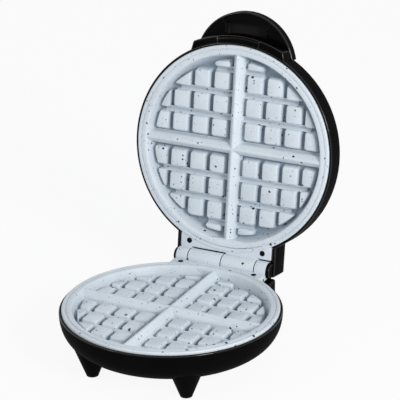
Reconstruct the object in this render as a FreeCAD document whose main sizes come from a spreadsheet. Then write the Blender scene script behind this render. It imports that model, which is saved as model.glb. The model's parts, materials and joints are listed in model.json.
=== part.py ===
import FreeCAD, Part
import math
import os
import re
import Sketcher
from FreeCAD import Placement, Rotation, Vector

# Round waffle maker, open. Millimetres, +Z up, worktop at Z = 0, bowl axis at X = Y = 0.
# +Y points to the hinge. Lid pieces are drawn shut and turned open about the hinge axis.
# Plate pieces are drawn on their own rim plane with Z as the depth behind it.

SIZES = {
    # overall layout
    "plate_radius": 95.0,
    "housing_overhang": 2.4,
    "parting_height": 50.0,
    "parting_gap": 0.6,
    "lid_open_angle": 98.1,
    # clearances
    "fit_gap": 0.1,
    "running_gap": 0.4,
    "seat_gap": 0.4,
    "ledge_gap": 0.3,
    "pin_clearance": 0.05,
    "thread_clearance": 0.05,
    "weld": 0.5,
    # baking plates
    "rim_height": 3.6,
    "rim_width": 8.7,
    "rim_ledge": 3.8,
    "skirt_draft": 4.7,
    "groove_inset": 3.7,
    "groove_width": 1.0,
    "groove_depth": 0.8,
    "cavity_depth": 12.5,
    "cavity_draft": 2.8,
    "plate_floor": 3.5,
    "rib_top_width": 2.2,
    "rib_foot_width": 11.0,
    "rib_depth": 1.0,
    "peg_pitch_x": 19.7,
    "peg_pitch_y": 21.7,
    "peg_first_x": 16.4,
    "peg_first_y": 16.9,
    "peg_length_x": 14.0,
    "peg_length_y": 15.0,
    "peg_depth": 6.2,
    "peg_draft": 2.05,
    "peg_edge_gap": 2.5,
    "peg_edge_draft": 1.6,
    "peg_least": 4.0,
    # hinge
    "hinge_reach": 10.2,
    "hinge_drop": 0.9,
    "lug_half_width": 45.5,
    "lug_step": 0.8,
    "lug_depth": 8.0,
    "knuckle_radius": 8.0,
    "knuckle_break": 33.5,
    "pin_radius": 2.5,
    "pin_cover": 1.5,
    "lug_screw_x": 36.8,
    "lug_screw_setback": 14.2,
    "lug_head_depth": 3.0,
    "lug_screw_length": 13.0,
    # heating element, its ends and the shield
    "element_radius": 3.25,
    "element_inset": 18.0,
    "element_leg_x": 12.0,
    "element_bend": 10.0,
    "element_end_inset": 16.5,
    "element_proud": 1.6,
    "ridge_half_width": 6.0,
    "ridge_height": 2.6,
    "insulator_length": 7.0,
    "blade_width": 4.8,
    "blade_thickness": 0.8,
    "blade_length": 9.0,
    "shield_gap": 0.3,
    "shield_sheet": 0.8,
    "shield_inset": 7.5,
    "shield_slope": 9.0,
    "shield_hole": 17.0,
    "shield_boss_radius": 4.0,
    "shield_boss_inset": 20.0,
    # screws
    "screw_head_radius": 2.5,
    "screw_head_height": 2.2,
    "screw_radius": 1.45,
    "screw_hole_radius": 1.7,
    "screw_bite": 5.0,
    "slot_length": 3.5,
    "slot_width": 0.9,
    "slot_depth": 1.0,
    # base bowl
    "wall": 2.6,
    "lip_round": 1.2,
    "bowl_rim_drop": 3.6,
    "bowl_lip_drop": 2.4,
    "bowl_flare": 37.4,
    "bowl_room": 18.8,
    "bowl_fullness": 0.66,
    "ledge_height": 2.0,
    # base hinge block and the posts under the plate
    "block_overlap": 23.0,
    "block_tuck": 1.2,
    "cheek_gap": 0.5,
    "cheek_thickness": 3.5,
    "cheek_margin": 1.0,
    "cheek_clearance": 0.6,
    "stop_clearance": 0.3,
    "stop_inset": 1.0,
    "boss_radius": 5.0,
    "post_inset": 6.0,
    "post_radius": 4.5,
    "post_length": 12.0,
    # legs and pads
    "front_foot_inset": 21.5,
    "front_foot_angle": 53.5,
    "rear_foot_x": 36.0,
    "rear_foot_setback": 16.0,
    "leg_foot_radius": 5.65,
    "leg_top_radius": 17.3,
    "leg_top_height": 30.0,
    "pad_radius": 4.4,
    "pad_height": 3.2,
    "pad_proud": 1.2,
    # cord entry
    "cord_bore_radius": 3.5,
    "gland_radius": 5.2,
    "gland_flange_radius": 7.5,
    "gland_flange": 2.4,
    "gland_rise": 11.8,
    "gland_tail": 6.0,
    # terminal block, thermal fuse and leads
    "terminal_length": 26.0,
    "terminal_width": 14.0,
    "terminal_height": 8.0,
    "terminal_inset": 19.0,
    "terminal_pitch": 14.0,
    "fuse_radius": 2.0,
    "fuse_length": 12.0,
    "fuse_gap": 3.5,
    "lead_radius": 1.2,
    "lead_bend": 3.6,
    # lid drum, with its heights taken inside the wall from the back of the upper plate
    "lid_lip_depth": 1.3,
    "lid_shoulder_round": 6.4,
    "lid_shoulder_rise": 3.0,
    "lid_shoulder_pull_rise": 5.4,
    "lid_crown_start_rise": 7.4,
    "lid_crown_rise": 16.4,
    "lid_crown_reach": 29.0,
    "lid_block_rise": 5.4,
    "rear_wall_start": 5.0,
    # handle
    "grip_radius": 48.2,
    "grip_setback": 22.1,
    "grip_under_depth": 16.0,
    "grip_height": 11.0,
    "grip_skin": 2.2,
    "grip_screw_x": 30.0,
    "grip_screw_rise": 3.0,
    "grip_pad_radius": 4.0,
    "grip_pad_land": 1.1,
    "pocket_half_width": 20.5,
    "pocket_inset": 10.5,
    "collar_reach": 6.3,
    "collar_half_angle": 26.0,
    "collar_start": 0.6,
    "cover_thickness": 2.5,
    "front_boss_radius": 4.0,
    # indicator lamps
    "lamp_x": 10.0,
    "lamp_inset": 13.4,
    "lamp_radius": 2.2,
    "lamp_length": 9.0,
    "lens_radius": 3.6,
    "lens_flange_radius": 4.4,
    "lens_flange": 1.0,
    "lens_drop": 2.2,
    "lens_proud": 0.8,
    "holder_skin": 1.0,
    "holder_gap": 0.3,
    "holder_wall": 2.6,
    # thermostat
    "thermostat_radius": 8.0,
    "thermostat_height": 6.0,
    "thermostat_cap_radius": 6.6,
    "thermostat_cap": 3.0,
    "thermostat_tab": 1.0,
    "thermostat_tab_length": 30.0,
    "thermostat_tab_width": 9.0,
    "thermostat_screw_x": 11.8,
    "thermostat_screw_bite": 2.2,
}

# Sizes that follow from the driving ones, as formulas of them.
FOLLOWING = {
    "housing_radius": "plate_radius + housing_overhang",
    "lip_radius": "housing_radius - lip_round",
    "groove_radius": "plate_radius - groove_inset",
    "cavity_radius": "plate_radius - rim_width",
    "floor_radius": "cavity_radius - cavity_draft",
    "skirt_radius": "plate_radius - rim_ledge",
    "back_radius": "skirt_radius - skirt_draft",
    "ledge_radius": "skirt_radius + ledge_gap",
    "peg_circle": "floor_radius - peg_edge_gap",
    "peg_foot_circle": "peg_circle + peg_edge_draft",
    "plate_back": "cavity_depth + plate_floor",
    "element_depth": "plate_back + element_proud",
    "shield_depth": "element_depth + element_radius + shield_gap",
    "shield_back": "shield_depth + shield_sheet",
    "shield_radius": "back_radius - shield_inset",
    "shield_floor_radius": "shield_radius - shield_slope",
    "element_ring": "shield_floor_radius - element_inset",
    "element_end_y": "back_radius - element_end_inset",
    "blade_end_y": "element_end_y + insulator_length + blade_length",
    "shield_boss_circle": "element_ring - shield_boss_inset",
    "post_circle": "shield_floor_radius - post_inset",
    "post_end_depth": "plate_back + post_length",
    "hinge_y": "plate_radius + hinge_reach",
    "hinge_height": "parting_height - hinge_drop",
    "cheek_inner": "lug_half_width + cheek_gap",
    "cheek_radius": "knuckle_radius + cheek_margin",
    "block_half_width": "cheek_inner + cheek_thickness",
    "block_reach": "knuckle_radius - block_tuck",
    "block_front_y": "plate_radius - block_overlap",
    "block_rear_y": "hinge_y + block_reach",
    "block_top": "hinge_height - cheek_radius - cheek_clearance",
    "stop_half_width": "cheek_inner - stop_inset",
    "stop_top": "hinge_height - block_reach * tan(lid_open_angle / 2) - stop_clearance",
    "pin_end": "block_half_width - pin_cover",
    "lug_screw_y": "hinge_y - lug_screw_setback",
    "bowl_floor_radius": "housing_radius - bowl_flare",
    "bowl_floor_height": "parting_height - plate_back - bowl_room",
    "bowl_floor_top": "bowl_floor_height + wall",
    "front_foot_x": "(housing_radius - front_foot_inset) * cos(front_foot_angle)",
    "front_foot_y": "(housing_radius - front_foot_inset) * sin(front_foot_angle)",
    "rear_foot_y": "block_rear_y - rear_foot_setback",
    "rear_leg_height": "bowl_floor_height - pad_proud + weld",
    "leg_slope": "(leg_top_radius - leg_foot_radius) / leg_top_height",
    "gland_height": "bowl_floor_height + gland_rise",
    "terminal_front_y": "bowl_floor_radius - terminal_inset",
    "clamp_y": "terminal_front_y + wall + fit_gap",
    "clamp_height": "bowl_floor_top + terminal_height / 2",
    "fuse_start_y": "terminal_front_y + terminal_width + fuse_gap",
    "lid_plane": "parting_height + parting_gap",
    "lid_shoulder_radius": "housing_radius - lid_shoulder_round",
    "lid_shoulder_depth": "plate_back + lid_shoulder_rise",
    "lid_shoulder_pull": "plate_back + lid_shoulder_pull_rise + wall",
    "lid_crown_start": "plate_back + lid_crown_start_rise + wall",
    "lid_crown": "plate_back + lid_crown_rise + wall",
    "lid_crown_pull": "lid_shoulder_radius - lid_crown_reach",
    "lid_block_depth": "plate_back + lid_block_rise + wall",
    "grip_centre_y": "housing_radius - grip_setback",
    "grip_top_depth": "grip_under_depth + grip_height",
    "grip_screw_depth": "grip_under_depth + grip_screw_rise",
    "grip_pad_edge": "grip_screw_x + grip_pad_radius",
    "grip_pad_y": "sqrt((housing_radius - wall) ^ 2 - grip_pad_edge ^ 2) - grip_pad_land",
    "pocket_front_y": "grip_centre_y + grip_radius - pocket_inset",
    "collar_radius": "housing_radius + collar_reach",
    "cover_seat_radius": "collar_radius - cover_thickness",
    "front_screw_depth": "rim_height + ledge_height + wall / 2 + ledge_gap + front_boss_radius",
    "lamp_y": "housing_radius - lamp_inset",
    "lamp_depth": "plate_back + holder_gap + holder_skin + fit_gap + lamp_radius",
    "holder_half_length": "lamp_x + lamp_length / 2 + holder_wall",
    "holder_front_y": "sqrt((housing_radius - wall) ^ 2 - holder_half_length ^ 2) - holder_gap",
}

doc = FreeCAD.newDocument("waffle_maker")
sheet = doc.addObject("Spreadsheet::Sheet", "Sizes")
for row, (alias, value) in enumerate(SIZES.items(), start=1):
    sheet.set("A%d" % row, alias)
    sheet.set("B%d" % row, str(value))
    sheet.setAlias("B%d" % row, alias)
doc.recompute()

SKETCH_START = 5.0
PEG_QUARTER_ROWS = 8
SHIELD_BOSS_ANGLES = (45, 135, 225, 315)
POST_ANGLES = (30, 150, 270)
FEET = (
    ("front_foot_x", "-front_foot_y", "front_right"),
    ("-front_foot_x", "-front_foot_y", "front_left"),
    ("rear_foot_x", "rear_foot_y", "rear_right"),
    ("-rear_foot_x", "rear_foot_y", "rear_left"),
)
LEG_TOPS = {
    "front": ("leg_top_radius", "leg_top_height"),
    "rear": ("leg_foot_radius + leg_slope * rear_leg_height", "rear_leg_height"),
}
TURNS = {
    "x": Rotation(Vector(0, 1, 0), 90),
    "y": Rotation(Vector(1, 0, 0), -90),
    "z": Rotation(),
}
nodes = []


def sheet_formula(formula):
    def name(match):
        word = match.group(0)
        if word in FOLLOWING:
            return "(%s)" % sheet_formula(FOLLOWING[word])
        return "Sizes." + word if word in SIZES else word
    return re.sub(r"[a-z_]+", name, formula)


def size(name):
    value = sheet.evalExpression(sheet_formula(name))
    return float(getattr(value, "Value", value))


def bind(obj, **formulas):
    for prop, formula in formulas.items():
        obj.setExpression(prop.replace("__", "."), sheet_formula(formula))


def place(obj, x="0", y="0", z="0"):
    bind(obj, Placement__Base__x=x, Placement__Base__y=y, Placement__Base__z=z)
    return obj


def outline(body, corners):
    # Closed sketch on the body's XZ plane with each corner set from the origin.
    sketch = body.newObject("Sketcher::SketchObject", body.Name + "_outline")
    support = [item for item in body.Origin.OriginFeatures if item.Role == "XZ_Plane"][0]
    sketch.AttachmentSupport = [(support, "")]
    sketch.MapMode = "FlatFace"
    count = len(corners)
    turn = 2 * math.pi / count
    start = [Vector(SKETCH_START + math.cos(k * turn), SKETCH_START + math.sin(k * turn), 0)
             for k in range(count)]
    for k in range(count):
        sketch.addGeometry(Part.LineSegment(start[k], start[(k + 1) % count]), False)
    for k in range(count):
        sketch.addConstraint(Sketcher.Constraint("Coincident", k, 2, (k + 1) % count, 1))
    for k, corner in enumerate(corners):
        for kind, formula, axis in (("DistanceX", corner[0], -2), ("DistanceY", corner[1], -1)):
            if formula == "0":
                sketch.addConstraint(Sketcher.Constraint("PointOnObject", k, 1, axis))
                continue
            index = sketch.addConstraint(Sketcher.Constraint(kind, -1, 1, k, 1, SKETCH_START))
            sketch.setExpression("Constraints[%d]" % index, sheet_formula(formula))
    return sketch


def turned(name, corners):
    # Solid of revolution about Z from corners of (radius, height).
    body = doc.addObject("PartDesign::Body", name)
    sketch = outline(body, corners)
    revolution = body.newObject("PartDesign::Revolution", name + "_turn")
    revolution.Profile = sketch
    revolution.ReferenceAxis = (sketch, ["V_Axis"])
    revolution.Angle = 360
    return body


def block(name, x, y, z):
    # Box between pairs of formulas.
    box = doc.addObject("Part::Box", name)
    spans = zip(("Length", "Width", "Height"), (x, y, z))
    for prop, (low, high) in spans:
        bind(box, **{prop: "(%s) - (%s)" % (high, low)})
    return place(box, x[0], y[0], z[0])


def rod(name, radius, length, x="0", y="0", z="0", along="z"):
    cylinder = doc.addObject("Part::Cylinder", name)
    cylinder.Placement = Placement(Vector(), TURNS[along])
    bind(cylinder, Radius=radius, Height=length)
    return place(cylinder, x, y, z)


def frustum(name, x, y, z, half_x, half_y, draft_x, draft_y, height):
    # Four-sided peg or ridge that narrows from its foot at depth z towards the rim plane.
    wedge = doc.addObject("Part::Wedge", name)
    wedge.Placement = Placement(Vector(), Rotation(Vector(1, 0, 0), -90))
    bind(wedge, Ymin="0", Ymax=height)
    for axis, half, draft in (("X", half_x, draft_x), ("Z", half_y, draft_y)):
        foot = "(%s) + (%s)" % (half, draft)
        bind(wedge, **{axis + "min": "-(%s)" % foot, axis + "max": foot})
        bind(wedge, **{axis + "2min": "-(%s)" % half, axis + "2max": half})
    return place(wedge, x, y, z)


def fuse(name, pieces):
    joined = doc.addObject("Part::MultiFuse", name)
    joined.Shapes = pieces
    return joined


def cut(name, base, tools):
    result = doc.addObject("Part::Cut", name)
    result.Base = base
    result.Tool = tools[0] if len(tools) == 1 else fuse(name + "_tools", tools)
    return result


def group(name, pieces):
    compound = doc.addObject("Part::Compound", name)
    compound.Links = pieces
    return compound


def fixed_shape(name, shape):
    feature = doc.addObject("Part::Feature", name)
    feature.Shape = shape
    return feature


def base_node(name, pieces):
    compound = group(name, pieces)
    compound.Label = name
    nodes.append(compound)
    return compound


def lid_node(name, pieces):
    compound = base_node(name, pieces)
    compound.Placement = Placement(Vector(), Rotation(Vector(-1, 0, 0), size("lid_open_angle")))
    bind(compound, Placement__Rotation__Angle="lid_open_angle")
    turned_y = "hinge_y * cos(lid_open_angle) + hinge_height * sin(lid_open_angle)"
    turned_z = "hinge_height * cos(lid_open_angle) - hinge_y * sin(lid_open_angle)"
    place(compound, "0", "hinge_y - (%s)" % turned_y, "hinge_height - (%s)" % turned_z)
    return compound


def on_lower_rim(obj):
    # Depth runs down from the lower rim plane.
    obj.Placement = Placement(Vector(), Rotation(Vector(0, 1, 0), 180))
    return place(obj, z="parting_height")


def on_upper_rim(obj):
    # Depth runs up from the upper rim plane of the shut lid.
    return place(obj, z="lid_plane")


def routed_tube(points, radius, bend):
    # Round tube along straight runs joined by tangent arcs.
    edges = []
    start = points[0]
    for before, corner, after in zip(points, points[1:], points[2:]):
        back = (before - corner).normalize()
        ahead = (after - corner).normalize()
        half = back.getAngle(ahead) / 2
        reach = bend / math.tan(half)
        middle = corner + (back + ahead).normalize() * (bend / math.sin(half) - bend)
        edges.append(Part.LineSegment(start, corner + back * reach).toShape())
        edges.append(Part.Arc(corner + back * reach, middle, corner + ahead * reach).toShape())
        start = corner + ahead * reach
    edges.append(Part.LineSegment(start, points[-1]).toShape())
    path = Part.Wire(edges)
    ring = Part.Wire(Part.Circle(points[0], points[1] - points[0], radius).toShape())
    tube = path.makePipeShell([ring], True, False)
    return tube


def omega_tube(name, radius, end_y):
    # Heating rod: a ring open at the hinge side whose two ends run straight to the back.
    ring = size("element_ring")
    leg_x = size("element_leg_x")
    bend = size("element_bend")
    depth = size("element_depth")
    bend_x = leg_x + bend
    bend_y = math.sqrt((ring + bend) ** 2 - bend_x ** 2)
    touch = ring / (ring + bend)
    inward = Vector(-bend_x, -bend_y, 0).normalize()
    sideways = Vector(-1, 0, 0)
    middle = Vector(bend_x, bend_y, 0) + (inward + sideways).normalize() * bend
    level = Vector(0, 0, depth)

    def mirrored(point):
        return Vector(-point.x, point.y, point.z)

    end = Vector(leg_x, end_y, 0) + level
    leg = Vector(leg_x, bend_y, 0) + level
    join = Vector(bend_x * touch, bend_y * touch, 0) + level
    elbow = middle + level
    front = Vector(0, -ring, 0) + level
    path = Part.Wire([
        Part.LineSegment(end, leg).toShape(),
        Part.Arc(leg, elbow, join).toShape(),
        Part.Arc(join, front, mirrored(join)).toShape(),
        Part.Arc(mirrored(join), mirrored(elbow), mirrored(leg)).toShape(),
        Part.LineSegment(mirrored(leg), mirrored(end)).toShape(),
    ])
    section = Part.Wire(Part.Circle(end, Vector(0, 1, 0), radius).toShape())
    return fixed_shape(name, path.makePipeShell([section], True, False))


def shell_of_revolution(name, edges):
    # Edges run from the axis to the axis in the XZ plane.
    start = edges[0].Vertexes[0].Point
    finish = edges[-1].Vertexes[-1].Point
    closing = Part.LineSegment(finish, start).toShape()
    face = Part.Face(Part.Wire(edges + [closing]))
    return fixed_shape(name, face.revolve(Vector(), Vector(0, 0, 1), 360))


def line(start, end):
    return Part.LineSegment(Vector(start[0], 0, start[1]), Vector(end[0], 0, end[1])).toShape()


def curve(*poles):
    bezier = Part.BezierCurve()
    bezier.setPoles([Vector(r, 0, z) for r, z in poles])
    return bezier.toShape()


def screw(name, x, y, z, length, along="z", flip=False):
    # Pan-head screw: underside of the head at (x, y, z), shank towards + along, or - if flipped.
    head = rod(name + "_head", "screw_head_radius", "screw_head_height", z="-screw_head_height")
    shank = rod(name + "_shank", "screw_radius", "(%s) + weld" % length, z="-weld")
    body = fuse(name + "_body", [head, shank])
    long, narrow = (("-%s / 2" % span, "%s / 2" % span) for span in ("slot_length", "slot_width"))
    deep = ("-screw_head_height - weld", "slot_depth - screw_head_height")
    slots = [block(name + "_slot_x", long, narrow, deep), block(name + "_slot_y", narrow, long, deep)]
    driven = cut(name, body, slots)
    turn = TURNS[along]
    if flip:
        turn = turn.multiply(Rotation(Vector(1, 0, 0), 180))
    driven.Placement = Placement(Vector(), turn)
    return place(driven, x, y, z)


def polar(circle, degrees):
    return "%s * cos(%d)" % (circle, degrees), "%s * sin(%d)" % (circle, degrees)


def peg_field(name):
    # Pegs of one quarter, trimmed to a circle, mirrored into the other three.
    height = "cavity_depth - peg_depth + weld"
    reach = size("peg_circle - peg_least")
    pegs = []
    for row in range(PEG_QUARTER_ROWS):
        for column in range(PEG_QUARTER_ROWS):
            x = "peg_first_x + %d * peg_pitch_x" % column
            y = "peg_first_y + %d * peg_pitch_y" % row
            if math.hypot(size(x + " - peg_length_x / 2"), size(y + " - peg_length_y / 2")) < reach:
                pegs.append(frustum("%s_%d_%d" % (name, row, column), x, y, "cavity_depth + weld",
                                    "peg_length_x / 2", "peg_length_y / 2",
                                    "peg_draft", "peg_draft", height))
    trim = doc.addObject("Part::Cone", name + "_trim")
    bind(trim, Radius1="peg_circle", Radius2="peg_foot_circle", Height=height)
    place(trim, z="peg_depth")
    quarter = doc.addObject("Part::Common", name + "_quarter")
    quarter.Base = group(name + "_pegs", pegs)
    quarter.Tool = trim
    side = doc.addObject("Part::Mirroring", name + "_side")
    side.Source = quarter
    side.Normal = Vector(1, 0, 0)
    near = doc.addObject("Part::Mirroring", name + "_near")
    near.Source = quarter
    near.Normal = Vector(0, 1, 0)
    far = doc.addObject("Part::Mirroring", name + "_far")
    far.Source = near
    far.Normal = Vector(1, 0, 0)
    return [quarter, side, near, far]


def baking_plate(name, axis_depth, posts, has_thermostat):
    # Cast plate with rim, quartered grid, hinge lug with two knuckles and element ridge.
    groove_in = "groove_radius - groove_width / 2"
    groove_out = "groove_radius + groove_width / 2"
    dish = turned(name + "_dish", [
        ("0", "cavity_depth"), ("floor_radius", "cavity_depth"), ("cavity_radius", "0"),
        (groove_in, "0"), (groove_in, "groove_depth"), (groove_out, "groove_depth"),
        (groove_out, "0"), ("plate_radius", "0"), ("plate_radius", "rim_height"),
        ("skirt_radius", "rim_height"), ("back_radius", "plate_back"), ("0", "plate_back")])
    pieces = [dish] + peg_field(name + "_peg")
    rib_height = "cavity_depth - rib_depth + weld"
    rib_half_length = "cavity_radius + groove_width"
    rib_draft = "(rib_foot_width - rib_top_width) / 2"
    foot = "cavity_depth + weld"
    pieces.append(frustum(name + "_rib_x", "0", "0", foot, rib_half_length, "rib_top_width / 2",
                          "0", rib_draft, rib_height))
    pieces.append(frustum(name + "_rib_y", "0", "0", foot, "rib_top_width / 2", rib_half_length,
                          rib_draft, "0", rib_height))
    tab = block(name + "_tab", ("-lug_half_width", "lug_half_width"), ("plate_radius / 2", "hinge_y"),
                ("lug_step", "lug_depth"))
    inside = rod(name + "_tab_clear", "(cavity_radius + groove_radius) / 2", "lug_depth + weld")
    pieces.append(cut(name + "_lug", tab, [inside]))
    own = (("-lug_half_width", "-knuckle_break"), ("0", "knuckle_break"))
    other = (("-knuckle_break", "0"), ("knuckle_break", "lug_half_width + running_gap"))
    for k, (low, high) in enumerate(own):
        pieces.append(rod("%s_knuckle_%d" % (name, k), "knuckle_radius",
                          "(%s) - (%s) - running_gap" % (high, low),
                          "%s + running_gap / 2" % low, "hinge_y", axis_depth, "x"))
    ridge = turned(name + "_ridge", [
        ("element_ring - ridge_half_width", "plate_back - weld"),
        ("element_ring + ridge_half_width", "plate_back - weld"),
        ("element_ring + ridge_half_width", "plate_back + ridge_height"),
        ("element_ring - ridge_half_width", "plate_back + ridge_height")])
    pieces.append(ridge)
    pilots = []
    for degrees in SHIELD_BOSS_ANGLES:
        x, y = polar("shield_boss_circle", degrees)
        label = "%s_boss_%d" % (name, degrees)
        pieces.append(rod(label, "shield_boss_radius", "shield_depth - plate_back + weld",
                          x, y, "plate_back - weld"))
        pilots.append(rod(label + "_pilot", "screw_radius + thread_clearance", "screw_bite + weld",
                          x, y, "shield_depth - screw_bite"))
    for degrees in posts:
        x, y = polar("post_circle", degrees)
        label = "%s_post_%d" % (name, degrees)
        pieces.append(rod(label, "post_radius", "post_end_depth - plate_back + weld",
                          x, y, "plate_back - weld"))
        pilots.append(rod(label + "_pilot", "screw_radius + thread_clearance", "screw_bite + 2 * weld",
                          x, y, "post_end_depth - screw_bite - weld"))
    if has_thermostat:
        front = "-housing_radius + wall + fit_gap"
        depth = "front_screw_depth"
        pieces.append(rod(name + "_front_boss", "front_boss_radius",
                          "housing_radius - wall - floor_radius - wall", "0", front, depth, "y"))
        pilots.append(rod(name + "_front_pilot", "screw_radius + thread_clearance", "screw_bite + 2 * weld",
                          "0", front + " - weld", depth, "y"))
        for sign in ("-", ""):
            label = name + ("_left" if sign else "_right")
            pilots.append(rod(label + "_thermostat_pilot", "screw_radius + thread_clearance",
                              "thermostat_screw_bite + weld", sign + "thermostat_screw_x", "0",
                              "plate_back - thermostat_screw_bite"))
    solid = fuse(name + "_cast", pieces)
    tools = pilots
    for k, (low, high) in enumerate(other):
        tools.append(rod("%s_relief_%d" % (name, k), "knuckle_radius + running_gap",
                         "(%s) - (%s) + running_gap" % (high, low),
                         "%s - running_gap / 2" % low, "hinge_y", axis_depth, "x"))
    tools.append(rod(name + "_pin_bore", "pin_radius + pin_clearance", "2 * pin_end",
                     "-pin_end", "hinge_y", axis_depth, "x"))
    for sign in ("-", ""):
        label = name + ("_left" if sign else "_right")
        tools.append(rod(label + "_head_hole", "screw_head_radius + fit_gap",
                         "lug_head_depth + screw_head_height",
                         sign + "lug_screw_x", "lug_screw_y", "0"))
        tools.append(rod(label + "_screw_hole", "screw_hole_radius", "lug_depth + weld",
                         sign + "lug_screw_x", "lug_screw_y", "weld"))
    channel = omega_tube(name + "_channel", size("element_radius") + size("fit_gap"),
                         size("plate_radius"))
    tools.append(channel)
    return cut(name + "_casting", solid, tools)


def heat_shield(name, posts):
    # Pressed sheet dish that covers the rod, open at the hinge side for the rod's ends.
    lip = "plate_back + fit_gap"
    dish = turned(name + "_dish", [
        ("shield_hole", "shield_depth"), ("shield_floor_radius", "shield_depth"),
        ("shield_radius - shield_sheet", lip), ("shield_radius", lip),
        ("shield_radius", lip + " + shield_sheet"),
        ("shield_floor_radius + shield_sheet", "shield_back"), ("shield_hole", "shield_back")])
    gate = "element_leg_x + element_radius + lead_bend"
    tools = [block(name + "_gate", ("-(%s)" % gate, gate),
                   ("element_ring + element_bend", "plate_radius"),
                   ("plate_back - weld", "shield_depth - fit_gap"))]
    for degrees in SHIELD_BOSS_ANGLES:
        x, y = polar("shield_boss_circle", degrees)
        tools.append(rod("%s_hole_%d" % (name, degrees), "screw_hole_radius", "shield_sheet + 2 * weld",
                         x, y, "shield_depth - weld"))
    for degrees in posts:
        x, y = polar("post_circle", degrees)
        tools.append(rod("%s_post_hole_%d" % (name, degrees), "post_radius + running_gap",
                         "shield_sheet + 2 * weld", x, y, "shield_depth - weld"))
    return cut(name + "_sheet", dish, tools)


def plate_set(side, seat, make_node, axis_depth, posts, has_thermostat):
    # One plate with its rod, rod ends, shield and screws, seated on its rim plane.
    def node(name, pieces):
        for piece in pieces:
            seat(piece)
        return make_node("%s_%s" % (side, name), pieces)

    node("plate", [baking_plate(side, axis_depth, posts, has_thermostat)])
    node("element", [omega_tube(side + "_rod", size("element_radius"), size("element_end_y"))])
    insulators = []
    blades = []
    for sign in ("-", ""):
        label = side + ("_left" if sign else "_right")
        x = sign + "element_leg_x"
        insulators.append(rod(label + "_insulator", "element_radius", "insulator_length",
                              x, "element_end_y", "element_depth", "y"))
        tip = "element_end_y + insulator_length"
        blades.append(block(label + "_blade", (x + " - blade_width / 2", x + " + blade_width / 2"),
                            (tip, tip + " + blade_length"),
                            ("element_depth - blade_thickness / 2", "element_depth + blade_thickness / 2")))
    node("element_insulators", [group(side + "_insulator_pair", insulators)])
    node("element_terminals", [group(side + "_blade_pair", blades)])
    node("heat_shield", [heat_shield(side + "_shield", posts)])
    shield_screws = []
    for degrees in SHIELD_BOSS_ANGLES:
        x, y = polar("shield_boss_circle", degrees)
        shield_screws.append(screw("%s_shield_screw_%d" % (side, degrees), x, y, "shield_back",
                                   "shield_sheet + screw_bite - thread_clearance", flip=True))
    node("shield_screws", [group(side + "_shield_screw_set", shield_screws)])
    lug_screws = []
    for sign in ("-", ""):
        label = side + ("_left" if sign else "_right")
        lug_screws.append(screw(label + "_lug_screw", sign + "lug_screw_x", "lug_screw_y",
                                "lug_head_depth + screw_head_height", "lug_screw_length"))
    node("lug_screws", [group(side + "_lug_screw_pair", lug_screws)])


plate_set("lower", on_lower_rim, base_node, "parting_height - hinge_height", POST_ANGLES, False)
plate_set("upper", on_upper_rim, lid_node, "hinge_height - parting_height - parting_gap", (), True)


def bowl_shapes():
    # Outside and inside of the base bowl; the walls bulge by the fullness of one Bezier curve.
    wall = size("wall")
    floor = size("bowl_floor_height")
    flat = size("bowl_floor_radius")
    radius = size("housing_radius")
    full = size("bowl_fullness")
    rim = size("parting_height") - size("bowl_rim_drop")
    lip = size("parting_height") - size("bowl_lip_drop")
    seat = size("parting_height") - size("rim_height")

    def bulge(flat_radius, low, wide_radius, high):
        return curve((flat_radius, low), (flat_radius + full * (wide_radius - flat_radius), low),
                     (wide_radius, high - full * (high - low)), (wide_radius, high))

    outside = [
        line((0, floor), (flat, floor)),
        bulge(flat, floor, radius, rim),
        curve((radius, rim), (radius, lip), (size("lip_radius"), lip)),
        line((size("lip_radius"), lip), (0, lip)),
    ]
    ledge = size("ledge_radius")
    pocket = size("plate_radius") + size("seat_gap")
    under = seat - size("ledge_height")
    spring = under - wall / 2
    over = lip + wall
    inside = [
        line((0, floor + wall), (flat - wall, floor + wall)),
        bulge(flat - wall, floor + wall, radius - wall, spring),
        line((radius - wall, spring), (ledge, under)),
        line((ledge, under), (ledge, seat)),
        line((ledge, seat), (pocket, seat)),
        line((pocket, seat), (pocket, over)),
        line((pocket, over), (0, over)),
    ]
    return shell_of_revolution("bowl_outside", outside), shell_of_revolution("bowl_inside", inside)


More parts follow.
